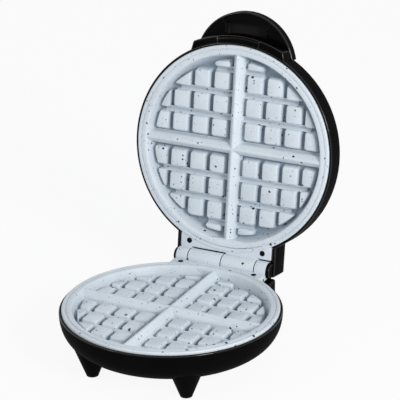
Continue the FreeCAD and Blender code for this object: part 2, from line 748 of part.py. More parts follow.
def base_housing():
    bowl, hollow = bowl_shapes()
    half = "block_half_width"
    inner_half = "block_half_width - wall"
    hinge_block = block("hinge_block", ("-" + half, half), ("block_front_y", "block_rear_y"),
                        ("bowl_floor_height", "block_top"))
    stop = block("lid_stop", ("-stop_half_width", "stop_half_width"),
                 ("block_rear_y - wall", "block_rear_y"), ("block_top - weld", "stop_top"))
    walls = [bowl, hinge_block, stop]
    foot_tools = []
    for x, y, label in FEET:
        leg = doc.addObject("Part::Cone", label + "_leg")
        top_radius, height = LEG_TOPS[label.split("_")[0]]
        bind(leg, Radius1="leg_foot_radius", Radius2=top_radius, Height=height)
        walls.append(place(leg, x, y, "pad_proud"))
        foot_tools.append(rod(label + "_socket", "pad_radius + fit_gap",
                              "pad_height - pad_proud + fit_gap + weld", x, y, "pad_proud - weld"))
    shell = cut("base_shell", fuse("base_mass", walls), [hollow])
    inner_block = block("block_hollow", ("-(%s)" % inner_half, inner_half),
                        ("block_front_y - wall", "block_rear_y - wall"),
                        ("bowl_floor_top", "block_top - wall"))
    lug_notch = block("lug_notch", ("-lug_half_width - running_gap", "lug_half_width + running_gap"),
                      ("plate_radius / 2", "hinge_y"),
                      ("parting_height - lug_depth", "parting_height + weld"))
    open_shell = cut("base_open_shell", shell, [inner_block, lug_notch])
    bosses = []
    holes = foot_tools
    for sign in ("-", ""):
        label = "base_left" if sign else "base_right"
        x = sign + "lug_screw_x"
        bosses.append(rod(label + "_boss", "boss_radius",
                          "parting_height - lug_depth - bowl_floor_top + weld",
                          x, "lug_screw_y", "bowl_floor_top - weld"))
        holes.append(rod(label + "_pilot", "screw_radius + thread_clearance", "lug_screw_length",
                         x, "lug_screw_y", "parting_height - lug_depth - lug_screw_length + weld"))
    post_foot = "parting_height - post_end_depth"
    for degrees in POST_ANGLES:
        x, y = polar("post_circle", degrees)
        x = "-(%s)" % x
        label = "base_post_%d" % degrees
        bosses.append(rod(label, "boss_radius", "%s - bowl_floor_height - wall / 2" % post_foot,
                          x, y, "bowl_floor_height + wall / 2"))
        holes.append(rod(label + "_head", "screw_head_radius + fit_gap",
                         "wall + weld + fit_gap", x, y, "bowl_floor_height - weld"))
        holes.append(rod(label + "_hole", "screw_hole_radius", post_foot, x, y, "bowl_floor_height"))
    holes.append(rod("gland_hole", "gland_radius + fit_gap", "2 * wall + 2 * weld",
                     "0", "block_rear_y - 2 * wall - weld", "gland_height", "y"))
    return cut("base_body", fuse("base_bossed", [open_shell] + bosses), holes)


base_node("base_housing", [base_housing()])
base_node("foot_pads", [rod(label + "_pad", "pad_radius", "pad_height", x, y)
                        for x, y, label in FEET])

post_screws = []
for angle in POST_ANGLES:
    post_x, post_y = polar("post_circle", angle)
    post_screws.append(screw("base_screw_%d" % angle, "-(%s)" % post_x, post_y,
                             "bowl_floor_top + fit_gap",
                             "parting_height - post_end_depth - bowl_floor_top + screw_bite - fit_gap"))
base_node("base_screws", post_screws)

base_node("hinge_pin", [rod("pin", "pin_radius", "2 * (pin_end - fit_gap)",
                            "fit_gap - pin_end", "hinge_y", "hinge_height", "x")])


def cord_gland():
    # Stepped bush drawn along Z, its flange outside the rear wall.
    tail = "wall + gland_tail"
    bush = turned("gland_bush", [
        ("cord_bore_radius", "0"), ("gland_radius", "0"), ("gland_radius", tail),
        ("gland_flange_radius", tail), ("gland_flange_radius", tail + " + gland_flange"),
        ("cord_bore_radius", tail + " + gland_flange")])
    bush.Placement = Placement(Vector(), TURNS["y"])
    return place(bush, "0", "block_rear_y - wall - gland_tail", "gland_height")


base_node("cord_gland", [cord_gland()])


def terminal_block():
    half = "terminal_length / 2"
    rear = "terminal_front_y + terminal_width"
    body = block("terminal_body", ("-" + half, half), ("terminal_front_y", rear),
                 ("bowl_floor_top", "bowl_floor_top + terminal_height"))
    tools = []
    screws = []
    for sign in ("-", ""):
        label = "terminal_left" if sign else "terminal_right"
        x = sign + "terminal_pitch / 2"
        middle = "terminal_front_y + terminal_width / 2"
        tools.append(rod(label + "_wire_hole", "lead_radius + fit_gap", "terminal_width + weld",
                         x, "terminal_front_y + wall", "clamp_height", "y"))
        tools.append(rod(label + "_well", "screw_head_radius + fit_gap", "terminal_height",
                         x, middle, "clamp_height + lead_radius + fit_gap"))
        screws.append(rod(label + "_clamp", "screw_head_radius", "screw_head_height",
                          x, middle, "clamp_height + lead_radius + fit_gap"))
    base_node("terminal_block", [cut("terminal_housing", body, tools)])
    base_node("terminal_screws", screws)


terminal_block()


def base_leads():
    # One lead from each clamp, back through the hinge block and up to a rod blade.
    clamp_z = size("clamp_height")
    blade_y = size("blade_end_y")
    blade_z = size("parting_height - element_depth")
    bend = size("lead_bend")
    turn_y = blade_y + 3 * bend
    leads = []
    for side, start_y in ((-1, size("fuse_start_y + fuse_length")), (1, size("clamp_y"))):
        clamp_x = side * size("terminal_pitch / 2")
        leg_x = side * size("element_leg_x")
        points = [Vector(clamp_x, start_y, clamp_z), Vector(clamp_x, turn_y, clamp_z),
                  Vector(leg_x, turn_y, blade_z), Vector(leg_x, blade_y, blade_z)]
        leads.append(fixed_shape("base_lead", routed_tube(points, size("lead_radius"), bend)))
    leads.append(rod("fuse_lead", "lead_radius", "fuse_start_y - clamp_y", "-terminal_pitch / 2",
                     "clamp_y", "clamp_height", "y"))
    base_node("base_leads", leads)
    base_node("thermal_fuse", [rod("fuse", "fuse_radius", "fuse_length", "-terminal_pitch / 2",
                                   "fuse_start_y", "clamp_height", "y")])


base_leads()


def lid_shapes():
    # Outside and inside of the shut lid drum above its rim plane.
    level = size("parting_height") + size("parting_gap")
    wall = size("wall")
    radius = size("housing_radius")
    shoulder = size("lid_shoulder_radius")

    def at(r, depth):
        return (r, level + depth)

    lip = size("lid_lip_depth")
    outside = [
        line(at(0, lip), at(size("lip_radius"), lip)),
        curve(at(size("lip_radius"), lip), at(radius, lip), at(radius, lip + radius - size("lip_radius"))),
        line(at(radius, lip + radius - size("lip_radius")), at(radius, size("lid_shoulder_depth"))),
        curve(at(radius, size("lid_shoulder_depth")), at(radius, size("lid_shoulder_pull")),
              at(shoulder, size("lid_crown_start"))),
        curve(at(shoulder, size("lid_crown_start")), at(size("lid_crown_pull"), size("lid_crown")),
              at(0, size("lid_crown"))),
    ]
    ledge = size("ledge_radius")
    pocket = size("plate_radius") + size("seat_gap")
    seat = size("rim_height")
    over = seat + size("ledge_height")
    inside = [
        line(at(0, lip - wall), at(pocket, lip - wall)),
        line(at(pocket, lip - wall), at(pocket, seat)),
        line(at(pocket, seat), at(ledge, seat)),
        line(at(ledge, seat), at(ledge, over)),
        line(at(ledge, over), at(radius - wall, over + wall / 2)),
        line(at(radius - wall, over + wall / 2), at(radius - wall, size("lid_shoulder_depth"))),
        curve(at(radius - wall, size("lid_shoulder_depth")),
              at(radius - wall, size("lid_shoulder_pull") - wall),
              at(shoulder - wall, size("lid_crown_start") - wall)),
        curve(at(shoulder - wall, size("lid_crown_start") - wall),
              at(size("lid_crown_pull"), size("lid_crown") - wall), at(0, size("lid_crown") - wall)),
    ]
    return shell_of_revolution("lid_outside", outside), shell_of_revolution("lid_inside", inside)


def lid_z(depth):
    return "lid_plane + (%s)" % depth


def collar_sector(name, radius, low, high):
    # Pie slice under the handle, centred on the front.
    sector = doc.addObject("Part::Cylinder", name)
    bind(sector, Radius=radius, Height="(%s) - (%s)" % (high, low), Angle="2 * collar_half_angle")
    sector.Placement = Placement(Vector(), Rotation(Vector(0, 0, 1), 270 - size("collar_half_angle")))
    bind(sector, Placement__Rotation__Angle="270 - collar_half_angle")
    return place(sector, z=lid_z(low))


def cover_outline(name, clearance, low, high):
    # Middle panel of the collar between its seat and its face.
    sector = collar_sector(name + "_sector", "collar_radius", low, high)
    core = rod(name + "_core", "cover_seat_radius + (%s)" % clearance, "grip_under_depth",
               z=lid_z("collar_start - weld"))
    half = "pocket_half_width - (%s)" % clearance
    window = block(name + "_window", ("-(%s)" % half, half),
                   ("-collar_radius - weld", "-cover_seat_radius / 2"), (lid_z(low), lid_z(high)))
    trimmed = doc.addObject("Part::Common", name + "_trimmed")
    trimmed.Base = cut(name + "_arc", sector, [core])
    trimmed.Tool = window
    return trimmed


def lid_housing():
    drum, hollow = lid_shapes()
    half = "block_half_width"
    hinge_block = block("lid_block", ("-" + half, half), ("block_front_y", "block_rear_y"),
                        (lid_z("lid_lip_depth"), lid_z("lid_block_depth")))
    cheeks = [rod("lid_cheek_" + label, "cheek_radius", "block_half_width - cheek_inner", x,
                  "hinge_y", "hinge_height", "x")
              for label, x in (("left", "-block_half_width"), ("right", "cheek_inner"))]
    sector = collar_sector("collar_sector", "collar_radius", "collar_start", "grip_under_depth")
    core = rod("collar_core", "housing_radius - wall / 2", "grip_under_depth", z=lid_z("0"))
    collar = cut("collar", sector, [core])
    shell = cut("lid_shell", fuse("lid_mass", [drum, hinge_block, collar] + cheeks), [hollow])
    inner = block("lid_block_hollow", ("-cheek_inner", "cheek_inner"),
                  ("block_front_y - wall", "block_rear_y - wall"),
                  (lid_z("-cheek_radius"), lid_z("lid_block_depth - wall")))
    swing = rod("knuckle_swing", "knuckle_radius + running_gap", "2 * cheek_inner", "-cheek_inner",
                "hinge_y", "hinge_height", "x")
    rear_gap = block("rear_gap", ("-cheek_inner", "cheek_inner"), ("hinge_y", "block_rear_y + weld"),
                     (lid_z("-2 * cheek_radius"), lid_z("rear_wall_start")))
    open_shell = cut("lid_open_shell", shell, [inner, swing, rear_gap])
    bosses = []
    holes = [rod("lid_pin_hole", "pin_radius + pin_clearance", "2 * pin_end", "-pin_end", "hinge_y",
                 "hinge_height", "x")]
    for sign in ("-", ""):
        label = "lid_left" if sign else "lid_right"
        x = sign + "lug_screw_x"
        bosses.append(rod(label + "_boss", "boss_radius", "lid_block_depth - wall / 2 - lug_depth",
                          x, "lug_screw_y", lid_z("lug_depth")))
        holes.append(rod(label + "_pilot", "screw_radius + thread_clearance", "lug_screw_length",
                         x, "lug_screw_y", lid_z("lug_depth - weld")))
        bosses.append(rod(label + "_grip_pad", "grip_pad_radius", "grip_pad_land + wall / 2",
                          sign + "grip_screw_x", "-grip_pad_y - grip_pad_land - wall / 2",
                          lid_z("grip_screw_depth"), "y"))
        holes.append(rod(label + "_grip_hole", "screw_hole_radius", "housing_radius - grip_pad_y + weld",
                         sign + "grip_screw_x", "-housing_radius", lid_z("grip_screw_depth"), "y"))
        holes.append(rod(label + "_lens_hole", "lens_radius + fit_gap", "lid_crown",
                         sign + "lamp_x", "-lamp_y", lid_z("lid_shoulder_depth")))
    holes.append(cover_outline("cover_seat", "0", "collar_start - weld", "grip_under_depth"))
    holes.append(rod("front_head_hole", "screw_head_radius + fit_gap", "collar_radius",
                     "0", "-housing_radius - collar_radius", lid_z("front_screw_depth"), "y"))
    holes.append(rod("front_screw_hole", "screw_hole_radius", "2 * wall", "0", "-housing_radius - weld",
                     lid_z("front_screw_depth"), "y"))
    return cut("lid_body", fuse("lid_bossed", [open_shell] + bosses), holes)


lid_node("lid_housing", [lid_housing()])

cover_plate = cover_outline("cover", "fit_gap", "collar_start", "grip_under_depth - fit_gap")
lid_node("handle_cover", [cover_plate])


def handle_grip():
    # Rounded tongue in front of the drum with a finger pocket in its underside.
    low = lid_z("grip_under_depth")
    disc = rod("grip_disc", "grip_radius", "grip_top_depth - grip_under_depth", "0",
               "-grip_centre_y", low)
    drum = rod("grip_drum", "housing_radius + fit_gap", "grip_top_depth", z=lid_z("grip_under_depth - weld"))
    pocket = block("grip_pocket", ("-pocket_half_width", "pocket_half_width"),
                   ("-pocket_front_y", "-housing_radius - grip_skin"),
                   (lid_z("grip_under_depth - weld"), lid_z("grip_top_depth - grip_skin")))
    tools = [drum, pocket]
    for sign in ("-", ""):
        label = "grip_left_pilot" if sign else "grip_right_pilot"
        tools.append(rod(label, "screw_radius + thread_clearance", "lug_screw_length",
                         sign + "grip_screw_x", "-grip_pad_y - lug_screw_length - weld",
                         lid_z("grip_screw_depth"), "y"))
    return cut("grip_body", disc, tools)


lid_node("handle_grip", [handle_grip()])

lid_node("handle_screws", [
    screw("grip_screw_" + label, x, "-grip_pad_y", lid_z("grip_screw_depth"),
          "lug_screw_length", "y", flip=True)
    for label, x in (("left", "-grip_screw_x"), ("right", "grip_screw_x"))])

lid_node("front_plate_screw", [
    screw("front_screw", "0", "-housing_radius", lid_z("front_screw_depth"), "wall + screw_bite", "y")])


def lamps():
    crown = size("lid_crown")
    start = size("lid_crown_start")
    shoulder = size("lid_shoulder_radius")
    pull = size("lid_crown_pull")
    radius = math.hypot(size("lamp_x"), size("lamp_y"))
    # The crown is a quadratic curve, so its height at the lamps comes from one quadratic root.
    a = shoulder - 2 * pull
    b = 2 * (pull - shoulder)
    t = (-b - math.sqrt(b * b - 4 * a * (shoulder - radius))) / (2 * a)
    top = (1 - t) ** 2 * start + 2 * t * (1 - t) * crown + t * t * crown
    inner = top - size("wall")
    level = size("parting_height") + size("parting_gap")
    bulbs = []
    for name, x in (("power_lamp_lens", -size("lamp_x")), ("ready_lamp_lens", size("lamp_x"))):
        flange_top = inner - size("lens_drop")
        dome = size("lens_proud")
        stem = top - flange_top
        profile = [
            line((0, -size("lens_flange")), (size("lens_flange_radius"), -size("lens_flange"))),
            line((size("lens_flange_radius"), -size("lens_flange")), (size("lens_flange_radius"), 0)),
            line((size("lens_flange_radius"), 0), (size("lens_radius"), 0)),
            line((size("lens_radius"), 0), (size("lens_radius"), stem)),
            curve((size("lens_radius"), stem), (size("lens_radius"), stem + dome), (0, stem + dome)),
        ]
        lens = shell_of_revolution(name + "_shape", profile)
        lens.Placement = Placement(Vector(x, -size("lamp_y"), level + flange_top), Rotation())
        lid_node(name, [lens])
        bulbs.append(rod(name + "_bulb", "lamp_radius", "lamp_length",
                         "%s - lamp_length / 2" % ("lamp_x" if x > 0 else "-lamp_x"),
                         "-lamp_y", lid_z("lamp_depth"), "x"))
    lid_node("neon_lamps", bulbs)
    tray = block("lamp_tray", ("-holder_half_length", "holder_half_length"),
                 ("-holder_front_y", "-lamp_y + lamp_radius + holder_wall"),
                 (lid_z("plate_back + holder_gap"), lid_z("lamp_depth")))
    seats = []
    for sign in ("-", ""):
        seats.append(rod("lamp_seat_left" if sign else "lamp_seat_right", "lamp_radius + fit_gap",
                         "lamp_length + 2 * fit_gap", "%slamp_x - lamp_length / 2 - fit_gap" % sign,
                         "-lamp_y", lid_z("lamp_depth"), "x"))
    lid_node("lamp_holder", [cut("lamp_holder_tray", tray, seats)])


lamps()


def thermostat():
    # Disc thermostat on the back of the upper plate, held by two screws through its tab.
    back = "plate_back"
    tab = block("thermostat_tab", ("-thermostat_tab_length / 2", "thermostat_tab_length / 2"),
                ("-thermostat_tab_width / 2", "thermostat_tab_width / 2"),
                (lid_z(back), lid_z(back + " + thermostat_tab")))
    can = rod("thermostat_can", "thermostat_radius", "thermostat_height", z=lid_z(back))
    cap = rod("thermostat_cap", "thermostat_cap_radius", "thermostat_cap + weld",
              z=lid_z(back + " + thermostat_height - weld"))
    holes = []
    screws = []
    for sign in ("-", ""):
        label = "thermostat_left" if sign else "thermostat_right"
        x = sign + "thermostat_screw_x"
        holes.append(rod(label + "_hole", "screw_hole_radius", "thermostat_tab + 2 * weld",
                         x, "0", lid_z(back + " - weld")))
        screws.append(screw(label + "_screw", x, "0", lid_z(back + " + thermostat_tab"),
                            "thermostat_tab + thermostat_screw_bite - fit_gap", flip=True))
    lid_node("thermostat", [cut("thermostat_body", fuse("thermostat_mass", [tab, can, cap]), holes)])
    lid_node("thermostat_screws", screws)


thermostat()


def lid_leads():
    # One lead on each side lies on a rod blade and follows the drum round to the lamp holder.
    circle = "sqrt(element_leg_x ^ 2 + (blade_end_y - lead_radius) ^ 2)"
    from_front = "asin((holder_half_length + lead_radius) / %s)" % circle
    from_back = "asin(element_leg_x / %s)" % circle
    starts = {"right": "270 deg + " + from_front, "left": "90 deg + " + from_back}
    arcs = []
    for label, start in starts.items():
        arc = doc.addObject("Part::Torus", "lid_lead_" + label)
        arc.Placement = Placement(Vector(), Rotation(Vector(0, 0, 1), 180))
        bind(arc, Radius1=circle, Radius2="lead_radius",
             Angle3="180 deg - %s - %s" % (from_front, from_back), Placement__Rotation__Angle=start)
        arcs.append(place(arc, z=lid_z("element_depth + blade_thickness / 2 + lead_radius + fit_gap")))
    lid_node("lid_leads", arcs)


lid_leads()

doc.recompute()
doc.recompute()

faults = []
for obj in doc.Objects:
    if "Invalid" in obj.State or "Error" in obj.State:
        faults.append("%s is %s" % (obj.Name, obj.State))
for node in nodes:
    if node.Shape.isNull() or not node.Shape.isValid():
        faults.append("%s has no valid shape" % node.Label)
if faults:
    raise RuntimeError("; ".join(faults))

os.makedirs("parts", exist_ok=True)
for node in nodes:
    node.Shape.exportStep("parts/%s.step" % node.Label)
    print(node.Label, len(node.Shape.Solids), round(node.Shape.Volume, 1))
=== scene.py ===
import json
import math

import bmesh
import bpy
from mathutils import Matrix, Vector
from mathutils.geometry import interpolate_bezier


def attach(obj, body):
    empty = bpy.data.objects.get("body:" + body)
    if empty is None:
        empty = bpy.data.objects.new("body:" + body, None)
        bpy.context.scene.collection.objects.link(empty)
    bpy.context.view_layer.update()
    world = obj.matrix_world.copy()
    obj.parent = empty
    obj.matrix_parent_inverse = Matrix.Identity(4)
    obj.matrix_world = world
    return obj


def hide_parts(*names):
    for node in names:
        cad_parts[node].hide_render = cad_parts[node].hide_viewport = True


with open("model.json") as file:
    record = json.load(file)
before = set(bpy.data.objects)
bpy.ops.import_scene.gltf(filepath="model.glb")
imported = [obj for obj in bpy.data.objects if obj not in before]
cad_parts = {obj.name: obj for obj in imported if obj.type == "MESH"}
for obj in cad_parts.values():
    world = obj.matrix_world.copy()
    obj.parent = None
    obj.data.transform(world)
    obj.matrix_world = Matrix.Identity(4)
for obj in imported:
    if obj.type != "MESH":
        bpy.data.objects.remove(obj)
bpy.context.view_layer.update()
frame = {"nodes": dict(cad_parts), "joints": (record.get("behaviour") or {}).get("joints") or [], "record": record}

scene = bpy.context.scene
scene.view_settings.view_transform = "Standard"

# sizes are in millimetres, and a mesh shrinks to metres when its piece is finished
unitsPerMetre = 1000
toMetres = Matrix.Scale(1 / unitsPerMetre, 4)
hinge = frame["joints"][0]
hingeAt = Vector(hinge["pos_m"]) * unitsPerMetre
openAngle = math.radians(hinge["range_deg"][1])

rimPlanes = {"lower": 50.0, "upper": 50.6}
lowerPlace = Matrix.Translation((0, 0, rimPlanes["lower"]))
shutPlace = Matrix.Translation((0, 0, rimPlanes["upper"]))
openTurn = (Matrix.Translation(hingeAt) @ Matrix.Rotation(-openAngle, 4, "X")
            @ Matrix.Translation(-hingeAt))
lidPlace = openTurn @ shutPlace                             # z is the depth behind the upper rim
upperPlace = lidPlace @ Matrix.Rotation(math.pi, 4, "Y")    # turns a lower plate over onto the lid

# mesh helpers

fullTurn = 2 * math.pi
quarterTurn = math.pi / 2
meshing = {"cornerSteps": 5, "boxSteps": 4, "spinSteps": 192, "rodSteps": 64,
           "weld": 0.001, "snap": 0.0001, "leastEdge": 0.01, "sharpAngle": 38}


def roundOff(bm, geom, radius, steps, affect="EDGES", clamp=False):
    bmesh.ops.bevel(bm, geom=geom, offset=radius, segments=steps, profile=0.5, affect=affect,
                    clamp_overlap=clamp, material=-1)


def move(bm, x=0.0, y=0.0, z=0.0):
    bmesh.ops.translate(bm, vec=(x, y, z), verts=bm.verts)
    return bm


def turned(bm, angle, axis):
    bmesh.ops.rotate(bm, verts=bm.verts, cent=(0, 0, 0), matrix=Matrix.Rotation(angle, 3, axis))
    return bm


def addProfile(bm, corners):
    # open wire in the XZ plane; each corner is (radius, height, rounding)
    verts = [bm.verts.new((r, 0, z)) for r, z, rounding in corners]
    for a, b in zip(verts, verts[1:]):
        bm.edges.new((a, b))
    for vert, (r, z, rounding) in zip(verts, corners):
        if rounding:
            roundOff(bm, [vert], rounding, meshing["cornerSteps"], "VERTICES")


def bend(start, pullA, pullB, end, steps):
    # points of a cubic curve as unrounded profile corners
    knots = [Vector((r, 0, z)) for r, z in (start, pullA, pullB, end)]
    return [(p.x, p.z, 0) for p in interpolate_bezier(*knots, steps)]


def softBend(start, pull, end, steps):
    # the same for a curve with one pull, which a cubic shares between its two
    a = [s + (p - s) * 2 / 3 for s, p in zip(start, pull)]
    b = [e + (p - e) * 2 / 3 for e, p in zip(end, pull)]
    return bend(start, a, b, end, steps)


def spun(corners, steps=meshing["spinSteps"], angle=fullTurn, start=0.0):
    # turns a profile about Z, and closes the ends of a part turn
    bm = bmesh.new()
    addProfile(bm, corners)
    full = angle >= fullTurn
    turned(bm, start, "Z")
    bmesh.ops.spin(bm, geom=bm.verts[:] + bm.edges[:], cent=(0, 0, 0), axis=(0, 0, 1),
                   angle=angle, steps=steps, use_merge=full)
    bmesh.ops.remove_doubles(bm, verts=bm.verts, dist=meshing["weld"])
    if not full:
        ends = [e for e in bm.edges if e.is_boundary]
        bmesh.ops.holes_fill(bm, edges=ends, sides=0)       # 0 takes a hole of any size
    bmesh.ops.recalc_face_normals(bm, faces=bm.faces)
    return bm


def plug(radius, low, high, steps=meshing["spinSteps"], topRadius=None, lowRound=0, topRound=0):
    # closed round plug about Z
    wide = radius if topRadius is None else topRadius
    return spun([(0, low, 0), (radius, low, lowRound), (wide, high, topRound), (0, high, 0)], steps)


def roundedRod(radius, length, rounding):
    # closed rod along X from 0 to its length
    rod = plug(radius, 0, length, meshing["rodSteps"], lowRound=rounding, topRound=rounding)
    return turned(rod, quarterTurn, "Y")


def roundedBox(low, high, rounding):
    bm = bmesh.new()
    bmesh.ops.create_cube(bm, size=1)
    bmesh.ops.scale(bm, vec=[b - a for a, b in zip(low, high)], verts=bm.verts)
    move(bm, *[(a + b) / 2 for a, b in zip(low, high)])
    roundOff(bm, bm.edges[:], rounding, meshing["boxSteps"])
    return bm


def barAlongY(corners, halfLength):
    # closed bar with the given section
    bm = bmesh.new()
    addProfile(bm, corners)
    bmesh.ops.contextual_create(bm, geom=bm.verts[:] + bm.edges[:])
    grown = bmesh.ops.extrude_face_region(bm, geom=bm.faces[:])
    moved = [item for item in grown["geom"] if isinstance(item, bmesh.types.BMVert)]
    bmesh.ops.translate(bm, vec=(0, 2 * halfLength, 0), verts=moved)
    bmesh.ops.recalc_face_normals(bm, faces=bm.faces)
    return move(bm, y=-halfLength)


def gather(target, part):
    # adds one mesh to another
    mesh = bpy.data.meshes.new("gather")
    part.to_mesh(mesh)
    part.free()
    target.from_mesh(mesh)
    bpy.data.meshes.remove(mesh)


def asObject(name, bm):
    mesh = bpy.data.meshes.new(name)
    bm.to_mesh(mesh)
    bm.free()
    obj = bpy.data.objects.new(name, mesh)
    scene.collection.objects.link(obj)
    return obj


def carve(bm, cutters):
    # takes closed cutter meshes out of a closed mesh
    work = asObject("carveWork", bm)
    for cutter in cutters:
        tool = asObject("carveTool", cutter)
        carving = work.modifiers.new("carve", "BOOLEAN")
        carving.object = tool
        carving.solver = "EXACT"
        bpy.context.view_layer.update()
        evaluated = work.evaluated_get(bpy.context.evaluated_depsgraph_get())
        result = bpy.data.meshes.new_from_object(evaluated)
        work.modifiers.clear()
        old = work.data
        work.data = result
        bpy.data.meshes.remove(old)
        bpy.data.objects.remove(tool)
    carved = bmesh.new()
    carved.from_mesh(work.data)
    bpy.data.objects.remove(work)
    return carved


# turn per millimetre at which the polish of an edge starts, and over which it grows
edgePolish = {"least": 0.36, "span": 0.5, "leastArea": 0.001}


def markEdges(bm):
    # face value from 0 on broad surfaces to 1 on tightly rounded edges
    edge = bm.faces.layers.float.new("edge")
    for face in bm.faces:
        turn = max(e.calc_face_angle(0) * e.calc_length() for e in face.edges)
        turn /= max(face.calc_area(), edgePolish["leastArea"])
        face[edge] = min(1, max(0, (turn - edgePolish["least"]) / edgePolish["span"]))


def finishPiece(name, bm, place, body, cadNode, materials):
    markEdges(bm)
    bm.transform(toMetres @ place)
    obj = asObject(name, bm)
    mesh = obj.data
    for face in mesh.polygons:
        face.use_smooth = True
    mesh.set_sharp_from_angle(angle=math.radians(meshing["sharpAngle"]))
    for material in materials:
        mesh.materials.append(material)
    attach(obj, body)
    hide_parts(cadNode)
    print("made", name, len(mesh.polygons), "faces")


# materials


def newMaterial(name):
    material = bpy.data.materials.new(name)
    material.use_nodes = True
    tree = material.node_tree
    return material, tree, tree.nodes["Principled BSDF"]


def node(tree, kind, **values):
    # makes a node; values named after a socket set it, others are the node's own settings
    made = tree.nodes.new(kind)
    for key, value in values.items():
        if key in made.inputs:
            made.inputs[key].default_value = value
        else:
            setattr(made, key, value)
    return made


def mathNode(tree, operation, a, b):
    made = node(tree, "ShaderNodeMath", operation=operation)
    for socket, value in zip(made.inputs, (a, b)):
        if isinstance(value, (int, float)):
            socket.default_value = value
        else:
            tree.links.new(value, socket)
    return made.outputs[0]


def mixTo(tree, factor, start, colour):
    # goes from a linked colour to a plain one; 6, 7 and 2 are the node's colour sockets
    mix = node(tree, "ShaderNodeMix", data_type="RGBA")
    tree.links.new(factor, mix.inputs["Factor"])
    tree.links.new(start, mix.inputs[6])
    mix.inputs[7].default_value = (*colour, 1)
    return mix.outputs[2]


def mixShaders(tree, factor, first, second, output):
    mix = tree.nodes.new("ShaderNodeMixShader")
    for source, socket in zip((factor, first, second), mix.inputs):
        tree.links.new(source, socket)
    tree.links.new(mix.outputs[0], tree.nodes[output].inputs["Surface"])


skin = {"grain": 900.0, "grainDetail": 4.0, "drift": 22.0, "driftDetail": 2.0,
        "noiseRoughness": 0.55, "bumpDistance": 0.0004,
        "toneRange": (0.3, 0.7), "tintRange": (0.32, 0.68)}


def makeSkinGroup():
    # fine surface unevenness: a height for bump and a slow tone for colour and roughness
    group = bpy.data.node_groups.new("surfaceSkin", "ShaderNodeTree")
    for name, value in (("Grain Scale", skin["grain"]), ("Drift Scale", skin["drift"])):
        socket = group.interface.new_socket(name, in_out="INPUT", socket_type="NodeSocketFloat")
        socket.default_value = value
    for name in ("Height", "Tone"):
        group.interface.new_socket(name, in_out="OUTPUT", socket_type="NodeSocketFloat")
    enter = group.nodes.new("NodeGroupInput")
    leave = group.nodes.new("NodeGroupOutput")
    place = group.nodes.new("ShaderNodeTexCoord")
    for scaleName, outName, detail in (("Grain Scale", "Height", skin["grainDetail"]),
                                       ("Drift Scale", "Tone", skin["driftDetail"])):
        noise = node(group, "ShaderNodeTexNoise", Detail=detail, Roughness=skin["noiseRoughness"])
        group.links.new(place.outputs["Object"], noise.inputs["Vector"])
        group.links.new(enter.outputs[scaleName], noise.inputs["Scale"])
        group.links.new(noise.outputs["Fac"], leave.inputs[outName])
    return group


skinGroup = makeSkinGroup()


def addSkin(tree, shader, grain, drift, bump, rough):
    # places the skin group, with its bump and roughness, and gives back its tone
    surface = node(tree, "ShaderNodeGroup", node_tree=skinGroup)
    surface.inputs["Grain Scale"].default_value = grain
    surface.inputs["Drift Scale"].default_value = drift
    raised = node(tree, "ShaderNodeBump", Strength=bump, Distance=skin["bumpDistance"])
    tree.links.new(surface.outputs["Height"], raised.inputs["Height"])
    tree.links.new(raised.outputs["Normal"], shader.inputs["Normal"])
    spread = node(tree, "ShaderNodeMapRange")
    ends = ("From Min", "From Max", "To Min", "To Max")
    for end, value in zip(ends, (*skin["toneRange"], *rough)):
        spread.inputs[end].default_value = value
    tree.links.new(surface.outputs["Tone"], spread.inputs["Value"])
    tree.links.new(spread.outputs["Result"], shader.inputs["Roughness"])
    return surface.outputs["Tone"]


def tintBy(tree, factor, dark, light):
    ramp = node(tree, "ShaderNodeValToRGB")
    for stop, place, colour in zip(ramp.color_ramp.elements, skin["tintRange"], (dark, light)):
        stop.position = place
        stop.color = (*colour, 1)
    tree.links.new(factor, ramp.inputs["Fac"])
    return ramp.outputs["Color"]


coat = {"dark": (0.66, 0.72, 0.77), "light": (0.72, 0.78, 0.83), "speck": (0.010, 0.011, 0.014),
        "grain": 700.0, "drift": 30.0, "bump": 0.10, "rough": (0.36, 0.46), "specular": 0.3,
        "cavityShade": (0.15, 0.21, 0.27), "cavityShadeStrength": 0.84, "sinkPower": 3,   # painted shade deep in the cavities
        "frayScale": 900.0, "frayDetail": 2.0, "fray": 0.0016,          # ragged outline of a speck
        # scatters of specks as (cells per metre, least size, most size, rarity of large ones)
        "speckLayers": ((130.0, 0.01, 0.20, 2.5), (240.0, 0.02, 0.20, 2.3),
                        (520.0, 0.0, 0.18, 2.0))}


def speckMask(tree, vector, scale, least, most, rarity):
    # one scatter of specks: a random size in each cell, most of them tiny
    cells = node(tree, "ShaderNodeTexVoronoi", Scale=scale)
    tree.links.new(vector, cells.inputs["Vector"])
    lot = node(tree, "ShaderNodeSeparateColor")
    tree.links.new(cells.outputs["Color"], lot.inputs["Color"])
    reach = mathNode(tree, "POWER", lot.outputs["Red"], rarity)
    reach = mathNode(tree, "MULTIPLY", reach, most - least)
    reach = mathNode(tree, "ADD", reach, least)
    return mathNode(tree, "LESS_THAN", cells.outputs["Distance"], reach)


